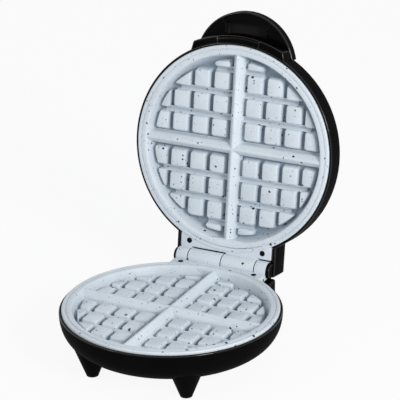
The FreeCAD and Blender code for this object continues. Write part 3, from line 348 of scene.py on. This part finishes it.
def makeCoat():
    material, tree, shader = newMaterial("speckledCeramicCoat")
    tone = addSkin(tree, shader, coat["grain"], coat["drift"], coat["bump"], coat["rough"])
    colour = tintBy(tree, tone, coat["dark"], coat["light"])
    # painted shade: the coat's colour darkens towards the cavity floor, where shade falls between the pegs
    low = node(tree, "ShaderNodeAttribute", attribute_name="sink")
    cavityShadeAmount = mathNode(tree, "MULTIPLY", low.outputs["Fac"], coat["cavityShadeStrength"])
    colour = mixTo(tree, cavityShadeAmount, colour, coat["cavityShade"])
    place = tree.nodes.new("ShaderNodeTexCoord")
    fray = node(tree, "ShaderNodeTexNoise", Scale=coat["frayScale"], Detail=coat["frayDetail"])
    tree.links.new(place.outputs["Object"], fray.inputs["Vector"])
    shift = node(tree, "ShaderNodeVectorMath", operation="MULTIPLY_ADD")
    tree.links.new(fray.outputs["Color"], shift.inputs[0])
    shift.inputs[1].default_value = [coat["fray"]] * 3
    tree.links.new(place.outputs["Object"], shift.inputs[2])
    speck = 0.0
    for layer in coat["speckLayers"]:
        speck = mathNode(tree, "MAXIMUM", speckMask(tree, shift.outputs["Vector"], *layer), speck)
    tree.links.new(mixTo(tree, speck, colour, coat["speck"]), shader.inputs["Base Color"])
    shader.inputs["Specular IOR Level"].default_value = coat["specular"]
    return material


def makeFinish(name, dark, light, grain, bump, rough, drift=35.0, metallic=0.0, specular=0.5):
    material, tree, shader = newMaterial(name)
    tone = addSkin(tree, shader, grain, drift, bump, rough)
    tree.links.new(tintBy(tree, tone, dark, light), shader.inputs["Base Color"])
    shader.inputs["Metallic"].default_value = metallic
    shader.inputs["Specular IOR Level"].default_value = specular
    return material


gloss = {"dark": (0.0016, 0.0015, 0.0016), "light": (0.0028, 0.0026, 0.0027),
         "grain": 500.0, "bump": 0.02, "rough": (0.25, 0.35), "specular": 0.0,
         "broad": 0.05, "edge": 0.65, "skinRoughness": 0.1}     # weight of the clear skin


def makeGlossBlack():
    # moulded black with a thin clear skin that is polished along the rounded edges
    material = makeFinish("glossBlackMoulding", gloss["dark"], gloss["light"], gloss["grain"],
                          gloss["bump"], gloss["rough"], specular=gloss["specular"])
    tree = material.node_tree
    shader = tree.nodes["Principled BSDF"]
    edge = node(tree, "ShaderNodeAttribute", attribute_name="edge")
    polish = mathNode(tree, "MULTIPLY", edge.outputs["Fac"], gloss["edge"] - gloss["broad"])
    tree.links.new(mathNode(tree, "ADD", polish, gloss["broad"]), shader.inputs["Coat Weight"])
    shader.inputs["Coat Roughness"].default_value = gloss["skinRoughness"]
    return material


ceramicCoat = makeCoat()
glossBlack = makeGlossBlack()
# near-black painted shade for the insides of the screw holes and the cut ends of the knuckles
paintedBoreShade = makeFinish("paintedBoreShade", (0.010, 0.010, 0.011), (0.016, 0.016, 0.017),
                      grain=500.0, bump=0.06, rough=(0.5, 0.6), specular=0.1)
pocketMatt = makeFinish("pocketMatt", (0.009, 0.008, 0.008), (0.013, 0.0115, 0.0115),
                        grain=500.0, bump=0.06, rough=(0.45, 0.6), specular=0.1)
footRubber = makeFinish("footRubber", (0.004, 0.004, 0.004), (0.008, 0.008, 0.008),
                        grain=600.0, bump=0.15, rough=(0.7, 0.85), specular=0.1)
print("materials ready")

# baking plates, built face up with the rim plane at z = 0

plate = {"radius": 95.0, "rimHeight": 3.6, "rimRound": 1.1, "rimFootRound": 0.4,
         "grooveRadius": 91.3, "grooveHalf": 0.5, "grooveDepth": 0.8,
         "grooveRound": 0.25, "grooveFloorRound": 0.2,
         "lipRadius": 86.3, "lipRound": 1.4,
         "floorRadius": 83.5, "floorDepth": 12.5, "floorRound": 2.6,
         "skirtRadius": 91.2, "backRadius": 86.5, "backDepth": 16.0, "backRound": 1.5, "steps": 224}


def dish():
    inner = plate["grooveRadius"] - plate["grooveHalf"]
    outer = plate["grooveRadius"] + plate["grooveHalf"]
    return spun([
        (0, -plate["floorDepth"], 0),
        (plate["floorRadius"], -plate["floorDepth"], plate["floorRound"]),
        (plate["lipRadius"], 0, plate["lipRound"]),
        (inner, 0, plate["grooveRound"]),
        (inner, -plate["grooveDepth"], plate["grooveFloorRound"]),
        (outer, -plate["grooveDepth"], plate["grooveFloorRound"]),
        (outer, 0, plate["grooveRound"]),
        (plate["radius"], 0, plate["rimRound"]),
        (plate["radius"], -plate["rimHeight"], plate["rimFootRound"]),
        (plate["skirtRadius"], -plate["rimHeight"], 0),
        (plate["backRadius"], -plate["backDepth"], plate["backRound"]),
        (0, -plate["backDepth"], 0)], steps=plate["steps"])


rib = {"topHalf": 0.9, "topRound": 0.8, "depth": 1.0,
       "shoulderHalf": 5.0, "shoulderRound": 1.2, "shoulderDepth": 6.3,
       "footHalf": 5.9, "footRound": 0.9, "skirt": 1.4, "skirtDrop": 0.08, "sunk": 0.6,
       "halfLength": 87.2}


def ridge():
    # one bar of the cross, along Y, with its roof-shaped section sunk a little into the floor
    floor = -plate["floorDepth"]
    out = rib["footHalf"] + rib["skirt"]
    half = [(out, floor - rib["sunk"], 0), (out, floor - rib["skirtDrop"], 0),
            (rib["footHalf"], floor, rib["footRound"]),
            (rib["shoulderHalf"], -rib["shoulderDepth"], rib["shoulderRound"]),
            (rib["topHalf"], -rib["depth"], rib["topRound"])]
    section = [(-x, z, rounding) for x, z, rounding in half] + half[::-1]
    return barAlongY(section, rib["halfLength"])


peg = {"pitchX": 19.7, "pitchY": 21.7, "firstX": 16.4, "firstY": 16.9, "rows": 4,
       "halfX": 7.0, "halfY": 7.5, "topDepth": 6.2, "draft": 2.05, "flare": 0.8, "sunk": 0.03,
       "leanX": 0.5,                            # share of the draft that the sides across take
       "circle": 79.0, "circleSteps": 96,       # trims the outer pegs
       "least": 2.0,                            # a peg that would keep less of itself is left out
       "shortEdge": 0.8, "cornerAngle": 150, "cornerRound": 2.2, "crownShare": 0.3,
       "mostShrink": 0.66,                      # keeps the crown of a trimmed peg open
       # rings of the foot as (inset, height) and of the crown as (inset, drop from the top)
       "footRings": ((0.42, 0.16), (0.66, 0.42), (0.80, 0.85)),
       "crownRings": ((0.0, 1.35), (0.30, 0.62), (0.75, 0.20), (1.35, 0.0))}


def pegOutline(x, y, grow):
    # foot of one peg as a flat face, cut from the circle and rounded at its corners
    bm = bmesh.new()
    bmesh.ops.create_circle(bm, cap_ends=True, segments=peg["circleSteps"],
                            radius=peg["circle"] + grow)
    wide, deep = peg["halfX"] + grow * peg["leanX"], peg["halfY"] + grow
    sides = ((x - wide, 0, -1, 0), (x + wide, 0, 1, 0), (0, y - deep, 0, -1), (0, y + deep, 0, 1))
    for px, py, nx, ny in sides:
        bmesh.ops.bisect_plane(bm, geom=bm.verts[:] + bm.edges[:] + bm.faces[:],
                               dist=meshing["snap"], plane_co=(px, py, 0), plane_no=(nx, ny, 0),
                               clear_outer=True)
    bmesh.ops.remove_doubles(bm, verts=bm.verts, dist=peg["shortEdge"])
    widest = math.radians(peg["cornerAngle"])
    for corner in [loop.vert for loop in bm.faces[:][0].loops if loop.calc_angle() < widest]:
        roundOff(bm, [corner], peg["cornerRound"], meshing["cornerSteps"], "VERTICES", clamp=True)
    return bm


def roomIn(face, centre):
    # distance from the centre to the nearest side
    away = []
    for edge in face.edges:
        if edge.calc_length() > meshing["leastEdge"]:
            a, b = [vert.co for vert in edge.verts]
            away.append((a - centre).cross((b - a).normalized()).length)
    return min(away)


def pegAt(x, y):
    # drawn upwards ring by ring: flared foot, drafted wall and rounded crown
    grow = peg["draft"] + peg["flare"]
    bm = pegOutline(x, y, grow)
    face = bm.faces[:][0]
    centre = face.calc_center_median_weighted()
    height = plate["floorDepth"] - peg["topDepth"]
    wall = grow - peg["crownRings"][-1][0] * peg["crownShare"]
    rings = [*peg["footRings"],
             *((wall + inset, height - drop) for inset, drop in peg["crownRings"])]
    ease = min(1, peg["mostShrink"] * roomIn(face, centre) / rings[-1][0])
    spreadX, spreadY = [max(spots) - min(spots)
                        for spots in ([vert.co[i] for vert in face.verts] for i in (0, 1))]
    shareX, shareY, level = 1.0, 1.0, 0.0
    for inset, top in rings:
        lower = face
        grown = bmesh.ops.extrude_face_region(bm, geom=[lower])["geom"]
        face = next(item for item in grown if isinstance(item, bmesh.types.BMFace))
        if level:                               # only the bottom face stays inside
            bmesh.ops.delete(bm, geom=[lower], context="FACES_ONLY")
        newX = 1 - 2 * inset * ease * peg["leanX"] / spreadX
        newY = 1 - 2 * inset * ease / spreadY
        bmesh.ops.scale(bm, vec=(newX / shareX, newY / shareY, 1), verts=face.verts[:],
                        space=Matrix.Translation(-centre))
        bmesh.ops.translate(bm, vec=(0, 0, top - level), verts=face.verts[:])
        shareX, shareY, level = newX, newY, top
    move(bm, z=-plate["floorDepth"] - peg["sunk"])
    bmesh.ops.recalc_face_normals(bm, faces=bm.faces)
    return bm


def pegField():
    field = bmesh.new()
    reach = peg["circle"] - peg["least"]
    for row in range(peg["rows"]):
        for column in range(peg["rows"]):
            x = peg["firstX"] + column * peg["pitchX"]
            y = peg["firstY"] + row * peg["pitchY"]
            if math.hypot(x - peg["halfX"], y - peg["halfY"]) > reach:
                continue
            for sideX in (-1, 1):
                for sideY in (-1, 1):
                    gather(field, pegAt(sideX * x, sideY * y))
    return field


saddle = {"half": 2.8, "crest": 8.5, "crestRound": 0.6, "trough": 11.5, "troughRound": 0.5,
          "sunk": 0.5, "short": 0.3}


def saddles():
    # shallow troughs that close the foot of the gaps between the rows of pegs
    bars = bmesh.new()
    half, sunk = saddle["half"], -plate["floorDepth"] - saddle["sunk"]
    section = [(-half, sunk, 0), (-half, -saddle["crest"], saddle["crestRound"]),
               (0, -saddle["trough"], saddle["troughRound"]),
               (half, -saddle["crest"], saddle["crestRound"]), (half, sunk, 0)]
    for row in range(peg["rows"] - 1):
        y = peg["firstY"] + (row + 0.5) * peg["pitchY"]
        nextRow = y + peg["pitchY"] / 2 - peg["halfY"]
        reach = math.sqrt(peg["circle"] ** 2 - nextRow ** 2) - saddle["short"]
        column = int((reach - peg["firstX"] + peg["halfX"]) / peg["pitchX"])
        reach = min(reach, peg["firstX"] + column * peg["pitchX"] + peg["halfX"])
        for side in (-1, 1):
            bar = turned(barAlongY(section, reach), quarterTurn, "Z")
            gather(bars, move(bar, y=side * y))
    return bars


lug = {"halfWidth": 45.5, "top": -0.8, "bottom": -8.0, "root": 84.0, "front": 96.6, "round": 0.7,
       "armLap": 3.0, "armStep": 0.2, "break": 33.5, "gap": 0.32,
       "knuckleRadius": 8.0, "endRound": 0.4, "endTilt": 0.75,
       "screwX": 36.8, "screwY": 91.0,
       "holeRadius": 2.6, "holeDepth": 7.0, "holeTop": 2.0, "holeSteps": 40, "holeLip": 0.05}


def lugTab():
    # the tab with its two screw holes, whose insides are painted near-black as shade
    tab = roundedBox((-lug["halfWidth"], lug["root"], lug["bottom"]),
                     (lug["halfWidth"], lug["front"], lug["top"]), lug["round"])
    holes = [move(plug(lug["holeRadius"], -lug["holeDepth"], lug["holeTop"], lug["holeSteps"]),
                  side * lug["screwX"], lug["screwY"]) for side in (-1, 1)]
    tab = carve(tab, holes)
    for face in tab.faces:
        middle = face.calc_center_median()
        away = math.hypot(abs(middle.x) - lug["screwX"], middle.y - lug["screwY"])
        if away < lug["holeRadius"] and middle.z < lug["top"] - lug["holeLip"]:
            face.material_index = 1
    return tab


def lugPieces(axisDrop):
    # the tab, then an arm and a knuckle for each of the plate's own stretches of the hinge
    pieces = bmesh.new()
    gather(pieces, lugTab())
    for low, high in ((-lug["break"], 0.0), (lug["break"], lug["halfWidth"])):
        low, high = low + lug["gap"], high - lug["gap"]
        gather(pieces, roundedBox((low, lug["front"] - lug["armLap"], lug["bottom"]),
                                  (high, hingeAt.y, lug["top"] - lug["armStep"]), lug["round"]))
        knuckle = roundedRod(lug["knuckleRadius"], high - low, lug["endRound"])
        knuckle.normal_update()
        for face in knuckle.faces:              # the cut ends get the same painted shade, which darkens the gaps between the knuckles
            if abs(face.normal.x) > lug["endTilt"]:
                face.material_index = 1
        gather(pieces, move(knuckle, low, hingeAt.y, -axisDrop))
    return pieces


def bakingPlate(axisDrop):
    whole = dish()
    cross = (ridge(), turned(ridge(), quarterTurn, "Z"))
    for part in (*cross, pegField(), saddles(), lugPieces(axisDrop)):
        gather(whole, part)
    sink = whole.verts.layers.float.new("sink")     # mask of the painted shade: 0 at the peg tops, 1 on the cavity floor
    for vert in whole.verts:
        inside = math.hypot(vert.co.x, vert.co.y) < plate["lipRadius"]
        fall = (-vert.co.z - peg["topDepth"]) / (plate["floorDepth"] - peg["topDepth"])
        vert[sink] = min(1, max(0, fall)) ** coat["sinkPower"] if inside else 0
    return whole


finishPiece("lowerBakingPlate", bakingPlate(rimPlanes["lower"] - hingeAt.z), lowerPlace, "base",
            "lower_plate", [ceramicCoat, paintedBoreShade])
finishPiece("upperBakingPlate", bakingPlate(hingeAt.z - rimPlanes["upper"]), upperPlace, "lid",
            "upper_plate", [ceramicCoat, paintedBoreShade])

# base housing: bowl, hinge block and legs

bowl = {"radius": 97.4, "floorRadius": 60.0, "floor": 15.2, "full": 0.66, "wall": 2.6,
        "rim": 46.4, "lip": 47.6, "lipRadius": 96.2, "lipRound": 0.2,
        "pocket": 95.4, "seat": 46.4, "ledge": 91.5, "under": 44.4,
        "notchHalf": 45.9, "notchTop": 42.0, "steps": 256, "bulgeSteps": 28, "lipSteps": 6}
baseScrew = {"places": ((-55.43, 32.0), (55.43, 32.0), (0.0, -64.0)), "recess": 2.6,
             "low": 13.0, "top": 17.3, "steps": 40}


def bulge(flat, low, wide, high):
    return bend((flat, low), (flat + bowl["full"] * (wide - flat), low),
                (wide, high - bowl["full"] * (high - low)), (wide, high), bowl["bulgeSteps"])


def bowlShell():
    wall = bowl["wall"]
    outside = bulge(bowl["floorRadius"], bowl["floor"], bowl["radius"], bowl["rim"])
    inside = bulge(bowl["floorRadius"] - wall, bowl["floor"] + wall, bowl["radius"] - wall,
                   bowl["under"] - wall / 2)
    lip = softBend((bowl["radius"], bowl["rim"]), (bowl["radius"], bowl["lip"]),
                   (bowl["lipRadius"], bowl["lip"]), bowl["lipSteps"])
    seat = [(bowl["pocket"], bowl["lip"], bowl["lipRound"]), (bowl["pocket"], bowl["seat"], 0),
            (bowl["ledge"], bowl["seat"], 0), (bowl["ledge"], bowl["under"], 0)]
    bm = spun([(0, bowl["floor"], 0)] + outside + lip[1:] + seat + inside[::-1]
              + [(0, bowl["floor"] + wall, 0)], steps=bowl["steps"])
    recesses = [move(plug(baseScrew["recess"], baseScrew["low"], baseScrew["top"],
                          baseScrew["steps"]), x, y) for x, y in baseScrew["places"]]
    bm = carve(bm, recesses)
    for vert in bm.verts:                       # notch under the hinge tab
        behind = vert.co.y > 0 and abs(vert.co.x) < bowl["notchHalf"]
        if behind and vert.co.z > bowl["notchTop"]:
            vert.co.z = bowl["notchTop"]
    return bm


block = {"half": 49.5, "front": 70.0, "rear": 112.0, "low": 15.2, "top": 39.5, "round": 2.2,
         "room": 92.4, "roomLow": 30.0, "roomTop": 60.0,
         "stopHalf": 45.0, "stopDepth": 2.6, "stopTop": 40.96, "stopLap": 3.0, "stopRound": 0.5}


def hingeBlock():
    # box with room for the plate, and the stop that the open lid rests on
    body = roundedBox((-block["half"], block["front"], block["low"]),
                      (block["half"], block["rear"], block["top"]), block["round"])
    whole = carve(body, [plug(block["room"], block["roomLow"], block["roomTop"])])
    gather(whole, roundedBox(
        (-block["stopHalf"], block["rear"] - block["stopDepth"], block["top"] - block["stopLap"]),
        (block["stopHalf"], block["rear"], block["stopTop"]), block["stopRound"]))
    return whole


leg = {"foot": 5.65, "footRound": 0.35, "low": 1.2, "top": 31.2, "topRadius": 17.3, "rearTop": 15.7,
       "front": (45.15, -61.0), "rear": (36.0, 96.0), "steps": 72}


def legAt(x, y, top):
    reach = (top - leg["low"]) / (leg["top"] - leg["low"])
    topRadius = leg["foot"] + (leg["topRadius"] - leg["foot"]) * reach
    return move(plug(leg["foot"], leg["low"], top, leg["steps"], topRadius,
                     lowRound=leg["footRound"]), x, y)


def baseHousing():
    whole = bowlShell()
    gather(whole, hingeBlock())
    for side in (-1, 1):
        gather(whole, legAt(side * leg["front"][0], leg["front"][1], leg["top"]))
        gather(whole, legAt(side * leg["rear"][0], leg["rear"][1], leg["rearTop"]))
    return whole


finishPiece("baseHousing", baseHousing(), Matrix.Identity(4), "base", "base_housing",
            [glossBlack])

pad = {"foot": 5.25, "top": 5.55, "round": 0.3, "height": 1.25, "steps": 72}


def footPads():
    whole = bmesh.new()
    for x, y in (leg["front"], leg["rear"]):
        for side in (-1, 1):
            gather(whole, move(plug(pad["foot"], 0, pad["height"], pad["steps"], pad["top"],
                                    lowRound=pad["round"]), side * x, y))
    return whole


finishPiece("footPads", footPads(), Matrix.Identity(4), "base", "foot_pads",
            [footRubber])

# lid housing, built shut with z as the depth behind the upper rim

drum = {"radius": 97.4, "wall": 2.6, "lip": 1.3, "lipRadius": 96.2, "lipRound": 0.2,
        "pocket": 95.4, "seat": 3.6, "ledge": 91.5, "over": 5.6,
        "shoulder": 19.0, "shoulderPull": 24.0, "shoulderRadius": 91.0,
        "crownStart": 26.0, "crown": 35.0, "crownPull": 62.0, "notchHalf": 46.0, "notchTop": 8.2,
        "steps": 256, "lipSteps": 6, "shoulderSteps": (14, 8), "crownSteps": (28, 16)}


def drumCrown(inset, steps):
    # shoulder and crown, pulled in by the wall's thickness for the inside
    shoulderSteps, crownSteps = steps
    side = drum["radius"] - inset
    start = (drum["shoulderRadius"] - inset, drum["crownStart"] - inset)
    top = drum["crown"] - inset
    return (softBend((side, drum["shoulder"]), (side, drum["shoulderPull"] - inset), start,
                     shoulderSteps)
            + softBend(start, (drum["crownPull"], top), (0, top), crownSteps)[1:])


def drumShell():
    wall = drum["wall"]
    outSteps, inSteps = zip(drum["shoulderSteps"], drum["crownSteps"])
    rim = [(drum["ledge"], drum["over"], 0), (drum["ledge"], drum["seat"], 0),
           (drum["pocket"], drum["seat"], 0), (drum["pocket"], drum["lip"], drum["lipRound"])]
    lip = softBend((drum["lipRadius"], drum["lip"]), (drum["radius"], drum["lip"]),
                   (drum["radius"], drum["lip"] + drum["radius"] - drum["lipRadius"]),
                   drum["lipSteps"])
    bm = spun(rim + lip + drumCrown(0, outSteps), steps=drum["steps"])
    under = [(drum["ledge"], drum["over"], 0), (drum["radius"] - wall, drum["over"] + wall / 2, 0)]
    gather(bm, spun(under + drumCrown(wall, inSteps), steps=drum["steps"]))
    bmesh.ops.remove_doubles(bm, verts=bm.verts, dist=meshing["weld"])
    bmesh.ops.recalc_face_normals(bm, faces=bm.faces)
    for vert in bm.verts:                       # notch for the hinge tab
        behind = vert.co.y > 0 and abs(vert.co.x) < drum["notchHalf"]
        if behind and vert.co.z < drum["notchTop"]:
            vert.co.z = drum["notchTop"]
    return bm


lidBlock = {"half": 49.5, "inner": 46.0, "front": 80.0, "rear": 112.0, "low": 1.3, "rearLow": 5.0,
            "top": 24.0, "wall": 2.6, "roundShare": 0.48,
            "cheekRadius": 6.6, "cheekRound": 0.8, "cheekOuter": 48.2}


def lidBlockShell():
    # box open towards the hinge, with a cheek disc on each side of the knuckles
    half, inner, front, rear = [lidBlock[key] for key in ("half", "inner", "front", "rear")]
    top, wall = lidBlock["top"], lidBlock["wall"]
    rounding = wall * lidBlock["roundShare"]
    whole = roundedBox((-half, front, top - wall), (half, rear, top), rounding)
    gather(whole, roundedBox((-half, rear - wall, lidBlock["rearLow"]), (half, rear, top),
                             rounding))
    cheek = lidBlock["cheekOuter"] - inner
    for low, cheekLow in ((-half, -lidBlock["cheekOuter"]), (inner, inner)):
        gather(whole, roundedBox((low, front, lidBlock["low"]), (low + half - inner, rear, top),
                                 rounding))
        disc = roundedRod(lidBlock["cheekRadius"], cheek, lidBlock["cheekRound"])
        gather(whole, move(disc, cheekLow, hingeAt.y, hingeAt.z - rimPlanes["upper"]))
    return whole


arc = {"stepsPerDegree": 1.5, "leastSteps": 6, "edgeAngle": 0.6, "roundSteps": 3, "front": 270}


def sector(inner, outer, low, high, fromAngle, toAngle, rounding):
    # block bent round the drum's axis, between two angles from the front
    span = toAngle - fromAngle
    section = [(inner, low, 0), (outer, low, 0), (outer, high, 0), (inner, high, 0),
               (inner, low, 0)]
    bm = spun(section, steps=max(arc["leastSteps"], int(span * arc["stepsPerDegree"])),
              angle=math.radians(span), start=math.radians(arc["front"] + fromAngle))
    edges = [e for e in bm.edges if e.calc_face_angle(0) > arc["edgeAngle"]]
    roundOff(bm, edges, rounding, arc["roundSteps"])
    return bm


collar = {"root": 96.5, "seat": 101.2, "radius": 103.7, "low": 0.6, "high": 16.0, "round": 0.7,
          "halfAngle": 25.0, "lean": 0.5,       # degrees per millimetre at the outer ends
          "panelHalf": 20.5, "panelLap": 1, "seatRise": 0.6, "seatRound": 0.3}


def collarPieces():
    # seat for the cover panel, with a wing on each side
    panel = math.degrees(math.asin(collar["panelHalf"] / collar["radius"]))
    span = collar["halfAngle"]
    reach = panel + collar["panelLap"]
    whole = sector(collar["root"], collar["seat"], collar["low"] + collar["seatRise"],
                   collar["high"], -reach, reach, collar["seatRound"])
    for low, high in ((-span, -panel), (panel, span)):
        wing = sector(collar["root"], collar["radius"], collar["low"], collar["high"], low, high,
                      collar["round"])
        for vert in wing.verts:                 # the outer end leans out towards the drum
            angle = math.degrees(math.atan2(vert.co.x, -vert.co.y))
            share = (abs(angle) - panel) / (span - panel)
            lean = collar["lean"] * share * (collar["radius"] - vert.co.xy.length)
            vert.co.rotate(Matrix.Rotation(math.radians(math.copysign(lean, angle)), 3, "Z"))
        gather(whole, wing)
    return whole


def lidHousing():
    whole = drumShell()
    gather(whole, lidBlockShell())
    gather(whole, collarPieces())
    return whole


finishPiece("lidHousing", lidHousing(), lidPlace, "lid", "lid_housing",
            [glossBlack])

cover = {"sideGap": 0.15, "backGap": 0.1, "topGap": 0.1, "round": 0.5}


def coverPanel():
    reach = math.degrees(math.asin((collar["panelHalf"] - cover["sideGap"]) / collar["radius"]))
    return sector(collar["seat"] + cover["backGap"], collar["radius"], collar["low"],
                  collar["high"] - cover["topGap"], -reach, reach, cover["round"])


finishPiece("handleCover", coverPanel(), lidPlace, "lid", "handle_cover",
            [glossBlack])

# handle tongue with its finger pocket

grip = {"radius": 48.2, "centreY": -75.3, "low": 16.0, "high": 27.0, "steps": 288,
        "topRound": 3.0, "lowRound": 1.2, "drumRadius": 97.5, "boreTop": 60.0,
        "pocketHalf": 20.5, "pocketFront": -113.0, "pocketBack": -99.6,
        "pocketLow": 5.0, "pocketTop": 24.8, "pocketRound": 1.5, "margin": 0.01}


def handleTongue():
    disc = move(plug(grip["radius"], grip["low"], grip["high"], grip["steps"],
                     lowRound=grip["lowRound"], topRound=grip["topRound"]), y=grip["centreY"])
    bore = plug(grip["drumRadius"], 0, grip["boreTop"])
    pocket = roundedBox((-grip["pocketHalf"], grip["pocketFront"], grip["pocketLow"]),
                        (grip["pocketHalf"], grip["pocketBack"], grip["pocketTop"]),
                        grip["pocketRound"])
    tongue = carve(disc, [bore, pocket])
    margin = grip["margin"]
    for face in tongue.faces:                   # the pocket is matt inside
        middle = face.calc_center_median()
        within = (abs(middle.x) < grip["pocketHalf"] + margin
                  and middle.y > grip["pocketFront"] - margin)
        if within and grip["low"] + margin < middle.z < grip["pocketTop"] + margin:
            face.material_index = 1
    return tongue


finishPiece("handleGrip", handleTongue(), lidPlace, "lid", "handle_grip",
            [glossBlack, pocketMatt])

# finishes of the pieces that stay as they are in the frame

lens = {"grain": 400.0, "drift": 120.0, "bump": 0.05, "rough": (0.06, 0.12), "deep": 0.6,
        "transmission": 0.35}


def makeLens(name, colour):
    deep = [c * lens["deep"] for c in colour]
    material = makeFinish(name, deep, colour, lens["grain"], lens["bump"], lens["rough"],
                          drift=lens["drift"])
    shader = material.node_tree.nodes["Principled BSDF"]
    shader.inputs["Transmission Weight"].default_value = lens["transmission"]
    return material


finishes = {
    "ceramic_coat": ceramicCoat,
    "black_housing": glossBlack,
    "foot_rubber": footRubber,
    "rod_sheath": makeFinish("heatTintedTube", (0.16, 0.14, 0.12), (0.27, 0.24, 0.21),
                             grain=300.0, bump=0.08, rough=(0.35, 0.5), metallic=1.0),
    "ceramic_bead": makeFinish("whiteBead", (0.72, 0.70, 0.64), (0.82, 0.80, 0.75),
                               grain=500.0, bump=0.08, rough=(0.4, 0.55)),
    "blade_brass": makeFinish("plainBrass", (0.55, 0.40, 0.16), (0.68, 0.52, 0.24),
                              grain=400.0, bump=0.05, rough=(0.25, 0.4), metallic=1.0),
    "shield_sheet": makeFinish("pressedSheet", (0.62, 0.63, 0.64), (0.72, 0.73, 0.74),
                               grain=260.0, bump=0.08, rough=(0.25, 0.4), metallic=1.0),
    "screw_steel": makeFinish("blackenedScrews", (0.018, 0.018, 0.02), (0.035, 0.035, 0.037),
                              grain=500.0, bump=0.06, rough=(0.3, 0.45), metallic=1.0),
    "pin_steel": makeFinish("groundPin", (0.45, 0.45, 0.46), (0.56, 0.56, 0.57),
                            grain=300.0, bump=0.04, rough=(0.2, 0.3), metallic=1.0),
    "gland_plastic": makeFinish("glandPlastic", (0.006, 0.006, 0.006), (0.010, 0.010, 0.010),
                                grain=700.0, bump=0.1, rough=(0.5, 0.6), specular=0.15),
    "terminal_nylon": makeFinish("naturalNylon", (0.70, 0.69, 0.63), (0.80, 0.79, 0.73),
                                 grain=400.0, bump=0.06, rough=(0.4, 0.5)),
    "lead_sleeve": makeFinish("leadSleeve", (0.60, 0.57, 0.50), (0.70, 0.67, 0.60),
                              grain=900.0, bump=0.2, rough=(0.55, 0.7)),
    "fuse_case": makeFinish("fuseCase", (0.55, 0.55, 0.53), (0.66, 0.66, 0.64),
                            grain=400.0, bump=0.05, rough=(0.3, 0.4), metallic=1.0),
    "power_red": makeLens("redLens", (0.55, 0.02, 0.015)),
    "ready_green": makeLens("greenLens", (0.02, 0.36, 0.07)),
    "lamp_glass": makeLens("bulbGlass", (0.80, 0.80, 0.78)),
    "holder_plastic": makeFinish("holderPlastic", (0.66, 0.66, 0.62), (0.76, 0.76, 0.72),
                                 grain=500.0, bump=0.06, rough=(0.4, 0.55)),
    "thermostat_case": makeFinish("pressedCan", (0.50, 0.50, 0.50), (0.62, 0.62, 0.62),
                                  grain=350.0, bump=0.05, rough=(0.25, 0.4), metallic=1.0),
}
for entry in frame["record"]["subparts"]:
    kept = frame["nodes"][entry["node"]]
    kept.data.materials.clear()
    kept.data.materials.append(finishes[entry["material_slot"]])
print("finishes given to", len(frame["nodes"]), "frame pieces")

# camera, light and floor

view = {"around": 26.569, "above": 21.421, "roll": -0.482, "distance": 1.63482, "lens": 173.195,
        "sensor": 36, "aimRight": 0.026033, "aimUp": 0.147436}

around = math.radians(view["around"])
above = math.radians(view["above"])
right = Vector((math.cos(around), math.sin(around), 0))
back = Vector((math.sin(around) * math.cos(above), -math.cos(around) * math.cos(above),
               math.sin(above)))
up = back.cross(right)
aim = right * view["aimRight"] + Vector((0, 0, view["aimUp"]))

cameraData = bpy.data.cameras.new("photoCamera")
cameraData.lens = view["lens"]
cameraData.sensor_width = view["sensor"]
camera = bpy.data.objects.new("photoCamera", cameraData)
roll = Matrix.Rotation(math.radians(view["roll"]), 3, "Z")
facing = Matrix((right, up, back)).transposed() @ roll
camera.matrix_world = Matrix.Translation(aim + back * view["distance"]) @ facing.to_4x4()
scene.collection.objects.link(camera)
scene.camera = camera

# lamps are placed from the point that the camera looks at, in metres
lamps = {"keyLight": {"place": (1.2, -0.7, 0.6), "power": 14.5, "size": 0.4},
         "fillLight": {"place": (-0.9, -1.35, 0.45), "power": 2.0, "size": 0.22}}
studio = {"ambient": 0.47, "sky": (0.93, 0.96, 1.0, 1)}
ground = {"half": 6, "colour": (0.86, 0.86, 0.86, 1), "roughness": 0.9, "specular": 0.1,
          "white": 0.92}                        # the rest of it keeps the shadow


def areaLight(name, place, power, size):
    data = bpy.data.lights.new(name, "AREA")
    data.energy = power
    data.size = size
    lamp = bpy.data.objects.new(name, data)
    lamp.location = aim + Vector(place)
    lamp.rotation_euler = (lamp.location - aim).to_track_quat("Z", "Y").to_euler()
    scene.collection.objects.link(lamp)


def backgroundFactor(tree):
    # 1 for rays that should see the white background
    path = tree.nodes.new("ShaderNodeLightPath")
    seen = mathNode(tree, "MAXIMUM", path.outputs["Is Camera Ray"], path.outputs["Is Glossy Ray"])
    return mathNode(tree, "MAXIMUM", seen, path.outputs["Is Transmission Ray"])


def whiteWorld():
    world = bpy.data.worlds.new("whiteStudio")
    world.use_nodes = True
    tree = world.node_tree
    ambient = tree.nodes["Background"]
    ambient.inputs["Color"].default_value = studio["sky"]
    ambient.inputs["Strength"].default_value = studio["ambient"]
    white = node(tree, "ShaderNodeBackground", Color=(1, 1, 1, 1), Strength=1.0)
    mixShaders(tree, backgroundFactor(tree), ambient.outputs[0], white.outputs[0], "World Output")
    scene.world = world


def paleFloor():
    bm = bmesh.new()
    bmesh.ops.create_grid(bm, x_segments=1, y_segments=1, size=ground["half"])
    floor = asObject("paleFloor", bm)
    material, tree, shader = newMaterial("paleFloor")
    shader.inputs["Base Color"].default_value = ground["colour"]
    shader.inputs["Roughness"].default_value = ground["roughness"]
    shader.inputs["Specular IOR Level"].default_value = ground["specular"]
    glow = node(tree, "ShaderNodeEmission", Strength=1.0)
    factor = mathNode(tree, "MULTIPLY", backgroundFactor(tree), ground["white"])
    mixShaders(tree, factor, shader.outputs[0], glow.outputs[0], "Material Output")
    floor.data.materials.append(material)


for name, lamp in lamps.items():
    areaLight(name, **lamp)
whiteWorld()
paleFloor()
print("stage ready")
